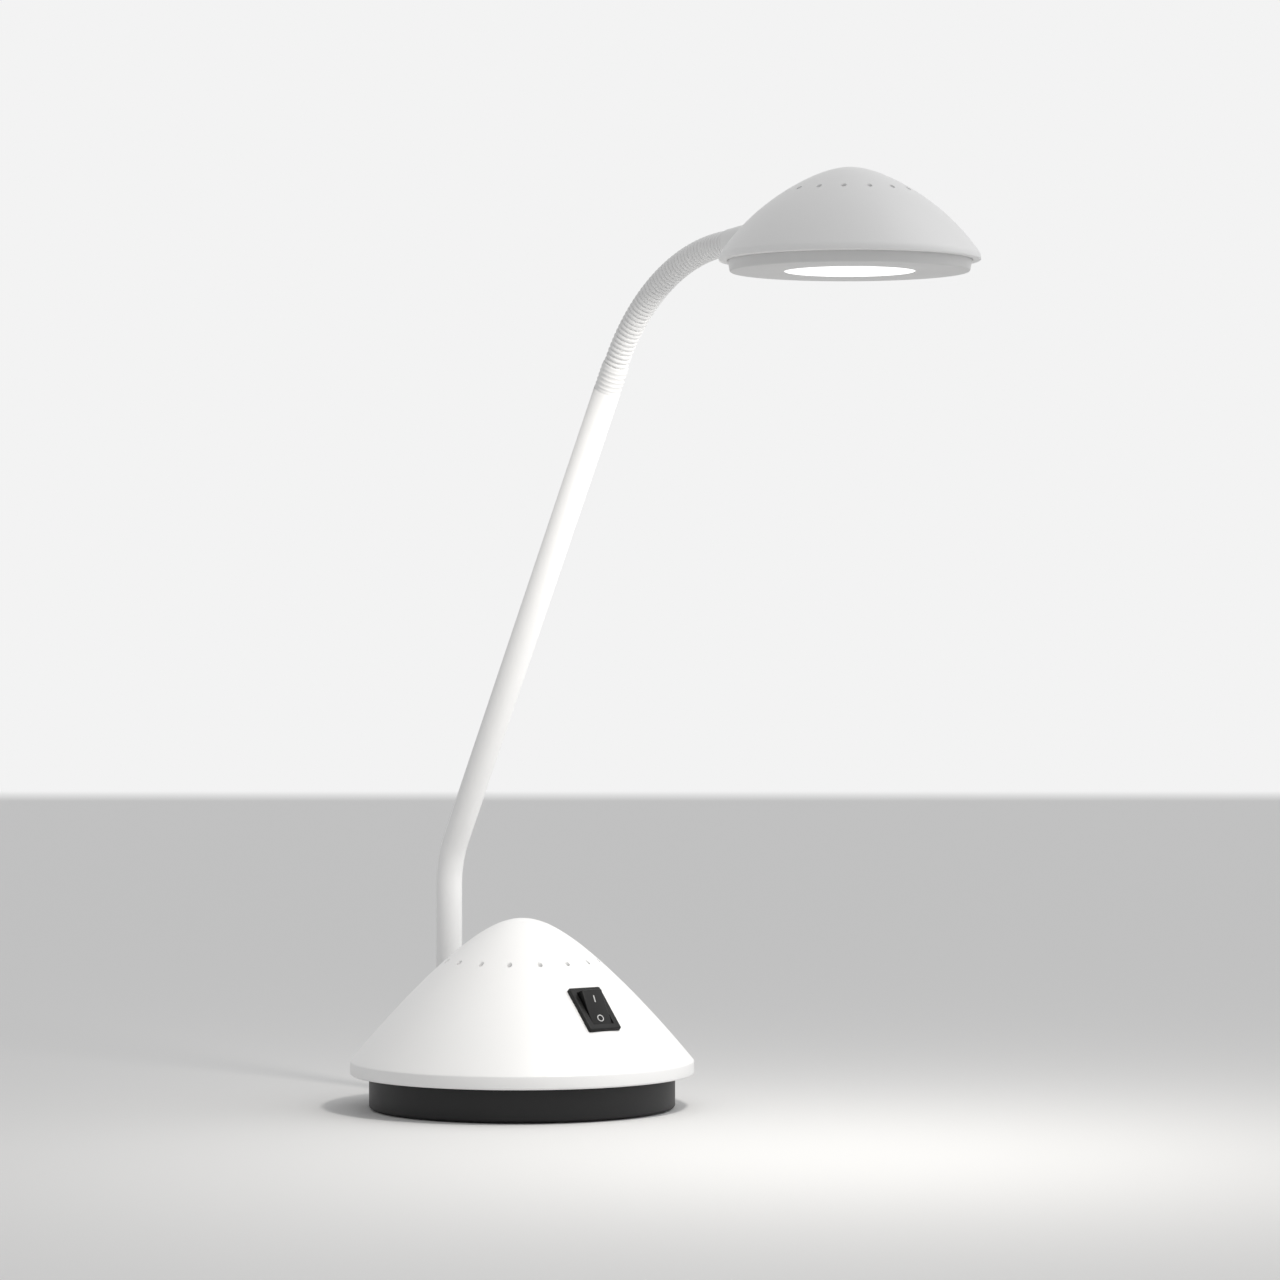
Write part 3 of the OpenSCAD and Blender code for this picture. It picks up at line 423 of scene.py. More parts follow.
@dataclass(frozen=True)
class Corner:
    """A corner of a turned outline.

    Attributes:
        r: Its radius.
        z: Its height.
        fillet: Radius of the round on it, or 0 to leave it sharp.
    """

    r: float
    z: float
    fillet: float = 0.0

    @property
    def point(self) -> Vector:
        """The corner in the XZ plane."""
        return Vector((self.r, 0.0, self.z))


def rounded(corners: Sequence[Corner], steps: int = 5) -> list[Vector]:
    """Round the corners of an outline.

    Args:
        corners: The outline's corners in order.
        steps: Edges along each round.

    Returns:
        The outline's points in the XZ plane.
    """
    points: list[Vector] = []
    for i, corner in enumerate(corners):
        here = corner.point
        if not corner.fillet:
            points.append(here)
            continue
        back = (corners[i - 1].point - here).normalized()
        ahead = (corners[(i + 1) % len(corners)].point - here).normalized()
        half = back.angle(ahead) / 2
        centre = here + (back + ahead).normalized() * corner.fillet / math.sin(half)
        reach = corner.fillet / math.tan(half)
        start = here + back * reach - centre
        end = here + ahead * reach - centre
        points += [
            centre + start.slerp(end, k / steps) * corner.fillet for k in range(steps + 1)
        ]
    return points


def shade(mesh: bpy.types.Mesh, crease_deg: float = CREASE_DEG) -> None:
    """Shade a mesh smooth, with edges sharper than an angle left crisp."""
    mesh.shade_smooth()
    mesh.set_sharp_from_angle(angle=math.radians(crease_deg))


def to_piece(
    bm: bmesh.types.BMesh, name: str, crease_deg: float = CREASE_DEG
) -> bpy.types.Object:
    """Turn a finished bmesh in millimetres into a piece in metres.

    Args:
        bm: The mesh, which is freed.
        name: The piece's name.
        crease_deg: Edges sharper than this stay crisp.

    Returns:
        The new object, at the origin.
    """
    bmesh.ops.scale(bm, vec=(MM, MM, MM), verts=bm.verts)
    mesh = bpy.data.meshes.new(name)
    bm.to_mesh(mesh)
    bm.free()
    shade(mesh, crease_deg)
    obj = bpy.data.objects.new(name, mesh)
    bpy.context.scene.collection.objects.link(obj)
    return obj


def turned(outline: Sequence[Vector], segments: int = 128) -> bmesh.types.BMesh:
    """Spin an outline round the Z axis into a closed solid.

    Args:
        outline: Points in the XZ plane. It runs from axis to axis, or it is a closed loop.
        segments: Steps of the full turn.

    Returns:
        The solid.
    """
    bm = bmesh.new()
    verts = [bm.verts.new(point) for point in outline]
    edges = [bm.edges.new(pair) for pair in zip(verts, verts[1:])]
    if outline[0].x > 0:
        edges.append(bm.edges.new((verts[-1], verts[0])))
    bmesh.ops.spin(
        bm,
        geom=verts + edges,
        cent=(0, 0, 0),
        axis=(0, 0, 1),
        dvec=(0, 0, 0),
        angle=FULL_TURN,
        steps=segments,
        use_merge=True,
        use_duplicate=False,
    )
    bmesh.ops.remove_doubles(bm, verts=bm.verts, dist=1e-4)
    bmesh.ops.recalc_face_normals(bm, faces=bm.faces)
    return bm


def add_rod(
    bm: bmesh.types.BMesh,
    foot: Sequence[float],
    top: Sequence[float],
    r1: float,
    r2: float | None = None,
    segments: int = 48,
) -> list[bmesh.types.BMVert]:
    """Add a capped rod or cone between two points.

    Args:
        bm: The mesh to add to.
        foot: Middle of its lower end.
        top: Middle of its upper end.
        r1: Its radius at the foot.
        r2: Its radius at the top, or none for the same.
        segments: Its sides.

    Returns:
        Its vertices.
    """
    start, end = Vector(foot), Vector(top)
    run = end - start
    place = (
        Matrix.Translation((start + end) / 2) @ run.to_track_quat("Z", "Y").to_matrix().to_4x4()
    )
    made = bmesh.ops.create_cone(
        bm,
        cap_ends=True,
        segments=segments,
        radius1=r1,
        radius2=r1 if r2 is None else r2,
        depth=run.length,
        matrix=place,
    )
    return made["verts"]


def add_block(
    bm: bmesh.types.BMesh,
    size: Sequence[float],
    middle: Sequence[float],
    place: Matrix = Matrix(),
) -> list[bmesh.types.BMVert]:
    """Add a box.

    Args:
        bm: The mesh to add to.
        size: Its length, width and height.
        middle: Its middle in the frame that place sets.
        place: Where that frame is.

    Returns:
        Its vertices.
    """
    matrix = place @ Matrix.Translation(middle) @ Matrix.Diagonal((*size, 1.0))
    return bmesh.ops.create_cube(bm, size=1.0, matrix=matrix)["verts"]


def parts_of(made: Iterable[Any], kind: type) -> list[Any]:
    """Pick what is of one kind, such as BMVert, from the geometry that an operator made."""
    return [part for part in made if isinstance(part, kind)]


def bevel(
    bm: bmesh.types.BMesh, edges: Iterable[bmesh.types.BMEdge], width: float, segments: int = 3
) -> None:
    """Round some edges of a mesh.

    Args:
        bm: The mesh.
        edges: The edges to round.
        width: How far the round reaches from each edge.
        segments: Faces across the round.
    """
    bmesh.ops.bevel(
        bm,
        geom=list(edges),
        offset=width,
        offset_type="OFFSET",
        affect="EDGES",
        segments=segments,
        profile=0.5,
        material=-1,
        clamp_overlap=True,
    )


def combine(
    obj: bpy.types.Object, tool: bmesh.types.BMesh, operation: str = "DIFFERENCE"
) -> bpy.types.Object:
    """Cut a tool out of a piece, or join it on.

    Args:
        obj: The piece, whose mesh is replaced.
        tool: The tool in millimetres, which is freed.
        operation: DIFFERENCE or UNION.

    Returns:
        The piece.
    """
    cutter = to_piece(tool, obj.name + "_tool")
    change = obj.modifiers.new("combine", "BOOLEAN")
    change.operation = operation
    change.solver = "EXACT"
    change.object = cutter
    bpy.context.view_layer.update()
    ready = obj.evaluated_get(bpy.context.evaluated_depsgraph_get())
    mesh = bpy.data.meshes.new_from_object(ready)
    obj.modifiers.clear()
    old = obj.data
    obj.data = mesh
    bpy.data.meshes.remove(old)
    bpy.data.objects.remove(cutter)
    mesh.name = obj.name
    shade(mesh)
    return obj


def settle(obj: bpy.types.Object, finish: Finish, slot: str, body: str, *nodes: str) -> None:
    """Dress a finished piece and tie it to the frame.

    Args:
        obj: The piece.
        finish: Its finish.
        slot: The record's material slot for it; not used.
        body: The body that it moves with.
        *nodes: The nodes that it stands for.
    """
    dress(obj, finish)
    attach(obj, body)
    if nodes:
        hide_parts(*nodes)
    LOG.info("%s: %d faces", obj.name, len(obj.data.polygons))


def corners_of(node: str) -> tuple[Vector, Vector]:
    """Give a node's lowest and highest corners in millimetres."""
    low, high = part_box(node)
    return low / MM, high / MM


# ---- Shapes that the base and the head share --------------------------------------------------


@dataclass(frozen=True)
class Dome:
    """A rounded cone that steepens towards its rim.

    Attributes:
        rim_r: Radius of its rim.
        top: Height of its top.
        slope: Steepness of its flank.
        nose: Roundness of its top.
        curl: Extra fall towards the rim.
        power: How late that fall comes.
    """

    rim_r: float
    top: float
    slope: float
    nose: float
    curl: float
    power: int

    def height(self, r: float) -> float:
        """Give the surface's height at radius r."""
        cone = self.slope * (math.hypot(r, self.nose) - self.nose)
        return self.top - cone - self.curl * (r / self.rim_r) ** self.power

    def steepness(self, r: float) -> float:
        """Give the surface's fall over run at radius r."""
        cone = self.slope * r / math.hypot(r, self.nose)
        return cone + self.curl * self.power * (r / self.rim_r) ** (self.power - 1) / self.rim_r

    def outside(self, to_r: float, step: float = 1.0) -> list[Corner]:
        """List points of the surface from the axis out to a radius.

        Args:
            to_r: The last point's radius.
            step: The widest step between points.

        Returns:
            The points.
        """
        count = math.ceil(to_r / step)
        return [Corner(to_r * i / count, self.height(to_r * i / count)) for i in range(count + 1)]

    def inside(self, wall: float, to_r: float, step: float = 2.0) -> list[Corner]:
        """List points of the inner surface from a radius in to the axis.

        Args:
            wall: Thickness of the wall.
            to_r: The first point's radius.
            step: The widest step between points.

        Returns:
            The points.
        """
        count = math.ceil(to_r / step)
        radii = [to_r * i / count for i in range(count, -1, -1)]
        return [Corner(r, self.height(r) - wall * math.hypot(1, self.steepness(r))) for r in radii]

    def vents(
        self, bm: bmesh.types.BMesh, ring_r: float, count: int, across: float, middle_x: float
    ) -> None:
        """Add the drills for a ring of vent holes to a tool.

        Args:
            bm: The tool.
            ring_r: Radius of the ring.
            count: Number of holes.
            across: Diameter of a hole.
            middle_x: Where the ring's middle is along X.
        """
        level = self.height(ring_r)
        for i in range(count):
            angle = FULL_TURN * i / count
            x, y = middle_x + ring_r * math.cos(angle), ring_r * math.sin(angle)
            add_rod(bm, (x, y, level - 8), (x, y, level + 8), across / 2, segments=24)


# ---- Base ------------------------------------------------------------------------------------


@dataclass
class LampBase:
    """The weighted base: cover, pan, foot pad and cord inlet.

    Attributes:
        lip_h: Height of the cover's upright edge.
        lip_w: Width of the cover's wall at the rim.
        wall: Wall of the dome.
        flange_t: Thickness of the flange that seats on the pan.
        vent_r: Radius of the ring of vents.
        vent_d: Diameter of a vent.
        vent_count: Number of vents.
        shoulder_w: Width of the pan's shoulder.
        spigot_h: Height of the pan's spigot inside the cover.
        pan_wall: Wall of the pan.
        pan_floor: Thickness of the pan's floor.
        screw_ring_r: Radius of the circle of cover screws.
        screw_count: Number of cover screws.
        cup_r: Radius of the cups that hold the screws' heads.
        cup_top: Height of a cup's top.
        head_hole_r: Radius of the hole for a screw's head.
        head_hole_top: Height of that hole's top.
        screw_hole_r: Radius of the hole for a screw's shank.
        pad_hole_r: Radius of the pad's holes under the screws.
        inlet_deg: Angle of the cord inlet round the base.
        inlet_z: Height of its middle.
        inlet_r: Radius of its hole in the pan.
    """

    lip_h: float = 5.1
    lip_w: float = 3.0
    wall: float = 2.2
    flange_t: float = 2.0
    vent_r: float = 30.3
    vent_d: float = 2.0
    vent_count: int = 16
    shoulder_w: float = 1.2
    spigot_h: float = 4.0
    pan_wall: float = 3.5
    pan_floor: float = 1.7
    screw_ring_r: float = 47.0
    screw_count: int = 3
    cup_r: float = 5.5
    cup_top: float = 6.0
    head_hole_r: float = 3.6
    head_hole_top: float = 3.8
    screw_hole_r: float = 2.05
    pad_hole_r: float = 4.3
    inlet_deg: float = 150.0
    inlet_z: float = 8.2
    inlet_r: float = 3.5

    def __post_init__(self) -> None:
        """Read the outer sizes from the frame."""
        low, high = corners_of("base_cover")
        self.rim_z = low.z
        self.dome = Dome(high.x, high.z, slope=1.02, nose=21.5, curl=5.5, power=3)
        pan_low, pan_high = corners_of("base_pan")
        self.pan_r = pan_high.x
        self.pan_z = pan_low.z
        pad_low, pad_high = corners_of("foot_pad")
        self.pad_r, self.pad_z, self.pad_top = pad_high.x, pad_low.z, pad_high.z

    def screw_places(self) -> list[Vector]:
        """List the middles of the cover screws on the table plane."""
        angles = [math.pi / 2 + FULL_TURN * i / self.screw_count for i in range(self.screw_count)]
        return [Vector((math.cos(a), math.sin(a), 0)) * self.screw_ring_r for a in angles]

    def build_cover(self, switch: "RockerSwitch", tube: "ArmTube") -> None:
        """Mould the domed cover, with its vents, the tube's hole and the switch's window.

        Args:
            switch: The switch that sits in the cover.
            tube: The tube that passes through the cover.
        """
        dome, rim_z = self.dome, self.rim_z
        spigot_r = self.pan_r - self.shoulder_w + 0.2
        in_r = dome.rim_r - self.lip_w
        outline = rounded(
            [
                *dome.outside(dome.rim_r)[:-1],
                Corner(dome.rim_r, rim_z + self.lip_h, 1.1),
                Corner(dome.rim_r, rim_z, 0.9),
                Corner(spigot_r, rim_z),
                Corner(spigot_r, rim_z + self.flange_t),
                Corner(in_r, rim_z + self.flange_t),
                *dome.inside(self.wall, in_r),
            ]
        )
        cover = to_piece(turned(outline, 208), "base_cover_shell")
        holes = bmesh.new()
        dome.vents(holes, self.vent_r, self.vent_count, self.vent_d, 0.0)
        foot, top = (tube.foot_x, 0, rim_z + 12), (tube.foot_x, 0, dome.top)
        add_rod(holes, foot, top, tube.hole_r, segments=72)
        for tool in (holes, switch.seat_tool(), switch.window_tool()):
            combine(cover, tool)
        settle(cover, WHITE_ABS, "white_abs", "lamp_base", "base_cover")

    def build_pan(self) -> None:
        """Mould the dark pan that shows as a plinth under the cover."""
        floor_top = self.pad_top + self.pan_floor
        in_r = self.pan_r - self.pan_wall
        spigot_r = self.pan_r - self.shoulder_w
        outline = rounded(
            [
                Corner(0, self.pad_top),
                Corner(self.pad_r + 0.3, self.pad_top),
                Corner(self.pad_r + 0.3, self.pan_z, 0.4),
                Corner(self.pan_r, self.pan_z, 1.0),
                Corner(self.pan_r, self.rim_z, 0.25),
                Corner(spigot_r, self.rim_z),
                Corner(spigot_r, self.rim_z + self.spigot_h, 0.4),
                Corner(in_r, self.rim_z + self.spigot_h, 0.4),
                Corner(in_r, floor_top),
                Corner(0, floor_top),
            ]
        )
        pan = to_piece(turned(outline, 180), "base_pan_moulding")
        cups = bmesh.new()
        head_holes = bmesh.new()
        screw_holes = bmesh.new()
        for place in self.screw_places():
            x, y, _ = place
            add_rod(cups, (x, y, self.pad_top + 0.4), (x, y, self.cup_top), self.cup_r)
            add_rod(head_holes, (x, y, -1), (x, y, self.head_hole_top), self.head_hole_r)
            add_rod(screw_holes, (x, y, 3), (x, y, 7), self.screw_hole_r)
        way = Matrix.Rotation(math.radians(self.inlet_deg), 4, "Z")
        inlet = [way @ Vector((r, 0, self.inlet_z)) for r in (in_r - 1, self.pan_r + 2)]
        add_rod(head_holes, *inlet, self.inlet_r)
        combine(pan, cups, "UNION")
        combine(pan, head_holes)
        combine(pan, screw_holes)
        settle(pan, PAN_ABS, "black_abs", "lamp_base", "base_pan")

    def build_pad(self) -> None:
        """Cut the foam foot pad."""
        outline = rounded(
            [
                Corner(0, self.pad_z),
                Corner(self.pad_r - 0.1, self.pad_z, 0.35),
                Corner(self.pad_r - 0.1, self.pad_top - 0.02),
                Corner(0, self.pad_top - 0.02),
            ]
        )
        pad = to_piece(turned(outline, 128), "foot_pad_disc")
        holes = bmesh.new()
        for place in self.screw_places():
            add_rod(holes, (place.x, place.y, -1), (place.x, place.y, 3), self.pad_hole_r)
        combine(pad, holes)
        settle(pad, EVA_FOAM, "foam_pad", "lamp_base", "foot_pad")

    def build_inlet(self) -> None:
        """Mould the rubber grommet of the cord inlet."""
        bore_r, neck_r, rim_r = 2.6, self.inlet_r, 4.6
        in_r = self.pan_r - self.pan_wall
        outline = rounded(
            [
                Corner(bore_r, in_r - 1.2, 0.3),
                Corner(rim_r, in_r - 1.2, 0.3),
                Corner(rim_r, in_r),
                Corner(neck_r, in_r),
                Corner(neck_r, self.pan_r),
                Corner(rim_r, self.pan_r),
                Corner(rim_r, self.pan_r + 1.2, 0.7),
                Corner(bore_r, self.pan_r + 1.2, 0.4),
            ]
        )
        bm = turned(outline, 48)
        place = (
            Matrix.Rotation(math.radians(self.inlet_deg), 4, "Z")
            @ Matrix.Translation((0, 0, self.inlet_z))
            @ Matrix.Rotation(math.pi / 2, 4, "Y")
        )
        bmesh.ops.transform(bm, matrix=place, verts=bm.verts)
        grommet = to_piece(bm, "inlet_grommet_ring")
        settle(grommet, MOULDED_RUBBER, "black_rubber", "lamp_base", "inlet_grommet")


# ---- Rocker switch ---------------------------------------------------------------------------


@dataclass
class RockerSwitch:
    """The switch on the base's front slope. Its own frame has +x down the slope and +z out.

    Attributes:
        dome: The cover that it sits in.
        at_r: Radius at which it sits.
        length: Length of its bezel.
        width: Width of its bezel.
        height: Height of its bezel over the seat.
        seat: Depth of the seat in the cover.
        body_h: Depth of its body below the seat.
        step: Step from the bezel's edge in to the body.
        window_play: Play of the switch in the cover.
        rocker_r: Half length of the rocker.
        rocker_w: Width of the rocker.
        play: Play round the rocker.
        pivot_depth: Depth of the pivot below the bezel's face.
        rise: Height of the rocker's valley over its pivot.
        low: Depth of the rocker below its pivot.
        tilt_deg: Tilt of the rocker at rest.
        vee_deg: Slope of the two halves of its face.
        pit_floor: Height of the pit's floor.
        pin_r: Radius of the rocker's pins.
        pin_l: Length of a pin.
        bar_x: Place of the ON bar along the rocker.
        ring_x: Place of the OFF ring along the rocker.
    """

    dome: Dome
    at_r: float = 47.7
    length: float = 21.0
    width: float = 15.0
    height: float = 1.7
    seat: float = 0.45
    body_h: float = 12.0
    step: float = 1.0
    window_play: float = 0.2
    rocker_r: float = 7.85
    rocker_w: float = 9.4
    play: float = 0.15
    pivot_depth: float = 1.0
    rise: float = 2.0
    low: float = 3.4
    tilt_deg: float = 15.0
    vee_deg: float = 2.5
    pit_floor: float = -5.6
    pin_r: float = 0.7
    pin_l: float = 1.3
    bar_x: float = -3.6
    ring_x: float = 4.7

    def __post_init__(self) -> None:
        """Work out where the switch and its rocker sit."""
        lean = math.atan(self.dome.steepness(self.at_r))
        spot = Matrix.Translation((self.at_r, 0, self.dome.height(self.at_r)))
        self.place = spot @ Matrix.Rotation(lean, 4, "Y")
        self.face_z = self.height - self.seat
        self.rocker_place = (
            self.place
            @ Matrix.Translation((0, 0, self.face_z - self.pivot_depth))
            @ Matrix.Rotation(math.radians(self.tilt_deg), 4, "Y")
        )

    def seat_tool(self) -> bmesh.types.BMesh:
        """Make the tool that cuts the bezel's flat seat into the cover."""
        bm = bmesh.new()
        size = (self.length + self.window_play, self.width + self.window_play, self.height + 2)
        add_block(bm, size, (0, 0, size[2] / 2 - self.seat), self.place)
        return bm

    def window_tool(self) -> bmesh.types.BMesh:
        """Make the tool that cuts the body's window through the cover."""
        bm = bmesh.new()
        narrowing = 2 * (self.window_play - self.step)
        size = (self.length + narrowing, self.width + narrowing, 10)
        add_block(bm, size, (0, 0, 0), self.place)
        return bm

    def build_housing(self) -> None:
        """Mould the bezel and the body, with the pit that the rocker sits in."""
        bm = bmesh.new()
        add_block(bm, (self.length, self.width, self.height), (0, 0, self.height / 2 - self.seat))
        upright = [e for e in bm.edges if abs(e.verts[0].co.z - e.verts[1].co.z) > 1]
        bevel(bm, upright, 0.7)
        top = [e for e in bm.edges if all(v.co.z > self.face_z - 0.01 for v in e.verts)]
        bevel(bm, top, 0.5, 3)
        housing = to_piece(bm, "switch_bezel")
        body = bmesh.new()
        size = (self.length - 2 * self.step, self.width - 2 * self.step, self.body_h + 0.5)
        add_block(body, size, (0, 0, 0.25 - self.seat - self.body_h / 2))
        combine(housing, body, "UNION")
        pit = bmesh.new()
        pit_l = 2 * (self.rocker_r + self.play)
        pit_w = self.rocker_w + 2 * self.play
        add_block(pit, (pit_l, pit_w, 20), (0, 0, self.pit_floor + 10))
        combine(housing, pit)
        bm = bmesh.new()
        bm.from_mesh(housing.data)
        inner = [
            e
            for e in bm.edges
            if all(
                abs(v.co.z / MM - self.face_z) < 0.01
                and abs(v.co.x / MM) < pit_l / 2 + 0.01
                and abs(v.co.y / MM) < pit_w / 2 + 0.01
                for v in e.verts
            )
        ]
        bevel(bm, inner, 0.22 * MM, 2)
        bmesh.ops.transform(bm, matrix=scaled(self.place), verts=bm.verts)
        bm.to_mesh(housing.data)
        bm.free()
        shade(housing.data)
        settle(housing, SWITCH_NYLON, "switch_black", "lamp_base", "switch_housing")

    def rocker_outline(self) -> list[Vector]:
        """List the rocker's side outline round its pivot."""
        vee = math.tan(math.radians(self.vee_deg))
        bottom = math.asin(self.low / self.rocker_r)
        square = 1 + vee**2
        reach = math.sqrt(square * self.rocker_r**2 - self.rise**2) - self.rise * vee
        top = math.atan2(self.rise + reach / square * vee, reach / square)
        count = 8
        turns = [top - (top + bottom) * i / count for i in range(count + 1)]
        right = [Vector((math.cos(a), 0, math.sin(a))) * self.rocker_r for a in turns]
        left = [Vector((-p.x, 0, p.z)) for p in reversed(right)]
        return [Vector((0, 0, self.rise)), *right, *left]

    def build_rocker(self) -> None:
        """Mould the rocker with its two pins, tilted with its O side pressed."""
        bm = bmesh.new()
        face = bm.faces.new([bm.verts.new(p) for p in self.rocker_outline()])
        grown = bmesh.ops.extrude_face_region(bm, geom=[face])
        moved = parts_of(grown["geom"], bmesh.types.BMVert)
        bmesh.ops.translate(bm, vec=(0, self.rocker_w, 0), verts=moved)
        bmesh.ops.translate(bm, vec=(0, -self.rocker_w / 2, 0), verts=bm.verts)
        bmesh.ops.recalc_face_normals(bm, faces=bm.faces)
        creases = [e for e in bm.edges if e.calc_face_angle(0) > math.radians(40)]
        bevel(bm, creases, 0.28, 3)
        pin_y = self.rocker_w / 2
        for side in (-1, 1):
            root, tip = (0, side * (pin_y - 0.02), 0), (0, side * (pin_y + self.pin_l), 0)
            add_rod(bm, root, tip, self.pin_r, segments=24)
        bmesh.ops.transform(bm, matrix=self.rocker_place, verts=bm.verts)
        rocker = to_piece(bm, "switch_rocker_cap")
        settle(rocker, ROCKER_NYLON, "switch_black", "switch_rocker", "switch_rocker")

    def mark_place(self, x: float) -> Matrix:
        """Give the frame of a mark on the rocker's face at x along it."""
        vee = math.radians(self.vee_deg)
        lean = vee if x < 0 else -vee
        level = self.rise + abs(x) * math.tan(vee)
        return self.rocker_place @ Matrix.Translation((x, 0, level)) @ Matrix.Rotation(lean, 4, "Y")

    def build_marks(self) -> None:
        """Print the bar of ON and the ring of OFF."""
        proud, sunk = 0.03, 0.04
        bar = bmesh.new()
        size, middle = (2.8, 0.46, proud + sunk), (0, 0, (proud - sunk) / 2)
        add_block(bar, size, middle, self.mark_place(self.bar_x))
        in_r, out_r = 1.1, 1.46
        section = [
            Corner(in_r, -sunk), Corner(out_r, -sunk), Corner(out_r, proud), Corner(in_r, proud)
        ]
        ring = turned(rounded(section), 40)
        bmesh.ops.transform(ring, matrix=self.mark_place(self.ring_x), verts=ring.verts)
        for bm, name in ((bar, "switch_mark_on"), (ring, "switch_mark_off")):
            settle(to_piece(bm, name), PRINT_INK, "switch_black", "switch_rocker")


def scaled(place: Matrix) -> Matrix:
    """Give a placing made in millimetres for a mesh that is in metres."""
    return Matrix.Scale(MM, 4) @ place @ Matrix.Scale(1 / MM, 4)


# ---- Arm and neck ----------------------------------------------------------------------------


@dataclass
class NeckPath:
    """The neck's middle line, an arc through the points halfway along its links.

    Attributes:
        joints: The frame's joints.
    """

    joints: list[dict[str, Any]]

    def __post_init__(self) -> None:
        """Work out the arc from the joints' places."""
        bends = [j for j in self.joints if j["name"].startswith("neck_")]
        self.bodies = [bends[0]["parent"], *(j["child"] for j in bends)]
        points = [Vector(j["pos_m"]) / MM for j in bends]
        first, second = points[1] - points[0], points[2] - points[1]
        self.kink = first.angle(second)
        self.link = first.length
        self.count = len(points)
        self.radius = self.link / 2 / math.tan(self.kink / 2)
        back = Matrix.Rotation(-self.kink, 3, "Y")
        self.start_dir = (back @ first).normalized()
        self.start = points[0] - self.start_dir * self.link / 2
        self.piece_length = self.radius * self.kink

    def frame(self, k: int) -> Matrix:
        """Give the frame at the start of bend k, with +Z along the neck and +X to its inside."""
        lean = math.atan2(self.start_dir.x, self.start_dir.z)
        centre = self.start + Matrix.Rotation(lean, 3, "Y") @ Vector((self.radius, 0, 0))
        turn = Matrix.Rotation(lean + k * self.kink, 4, "Y")
        return Matrix.Translation(centre) @ turn @ Matrix.Translation((-self.radius, 0, 0))

    def bend(self, bm: bmesh.types.BMesh) -> None:
        """Bend a straight mesh that stands on the origin along +Z into the neck's arc."""
        centre = Vector((self.radius, 0, 0))
        for vert in bm.verts:
            turn = Matrix.Rotation(vert.co.z / self.radius, 3, "Y")
            flat = Vector((vert.co.x, vert.co.y, 0)) - centre
            vert.co = centre + turn @ flat


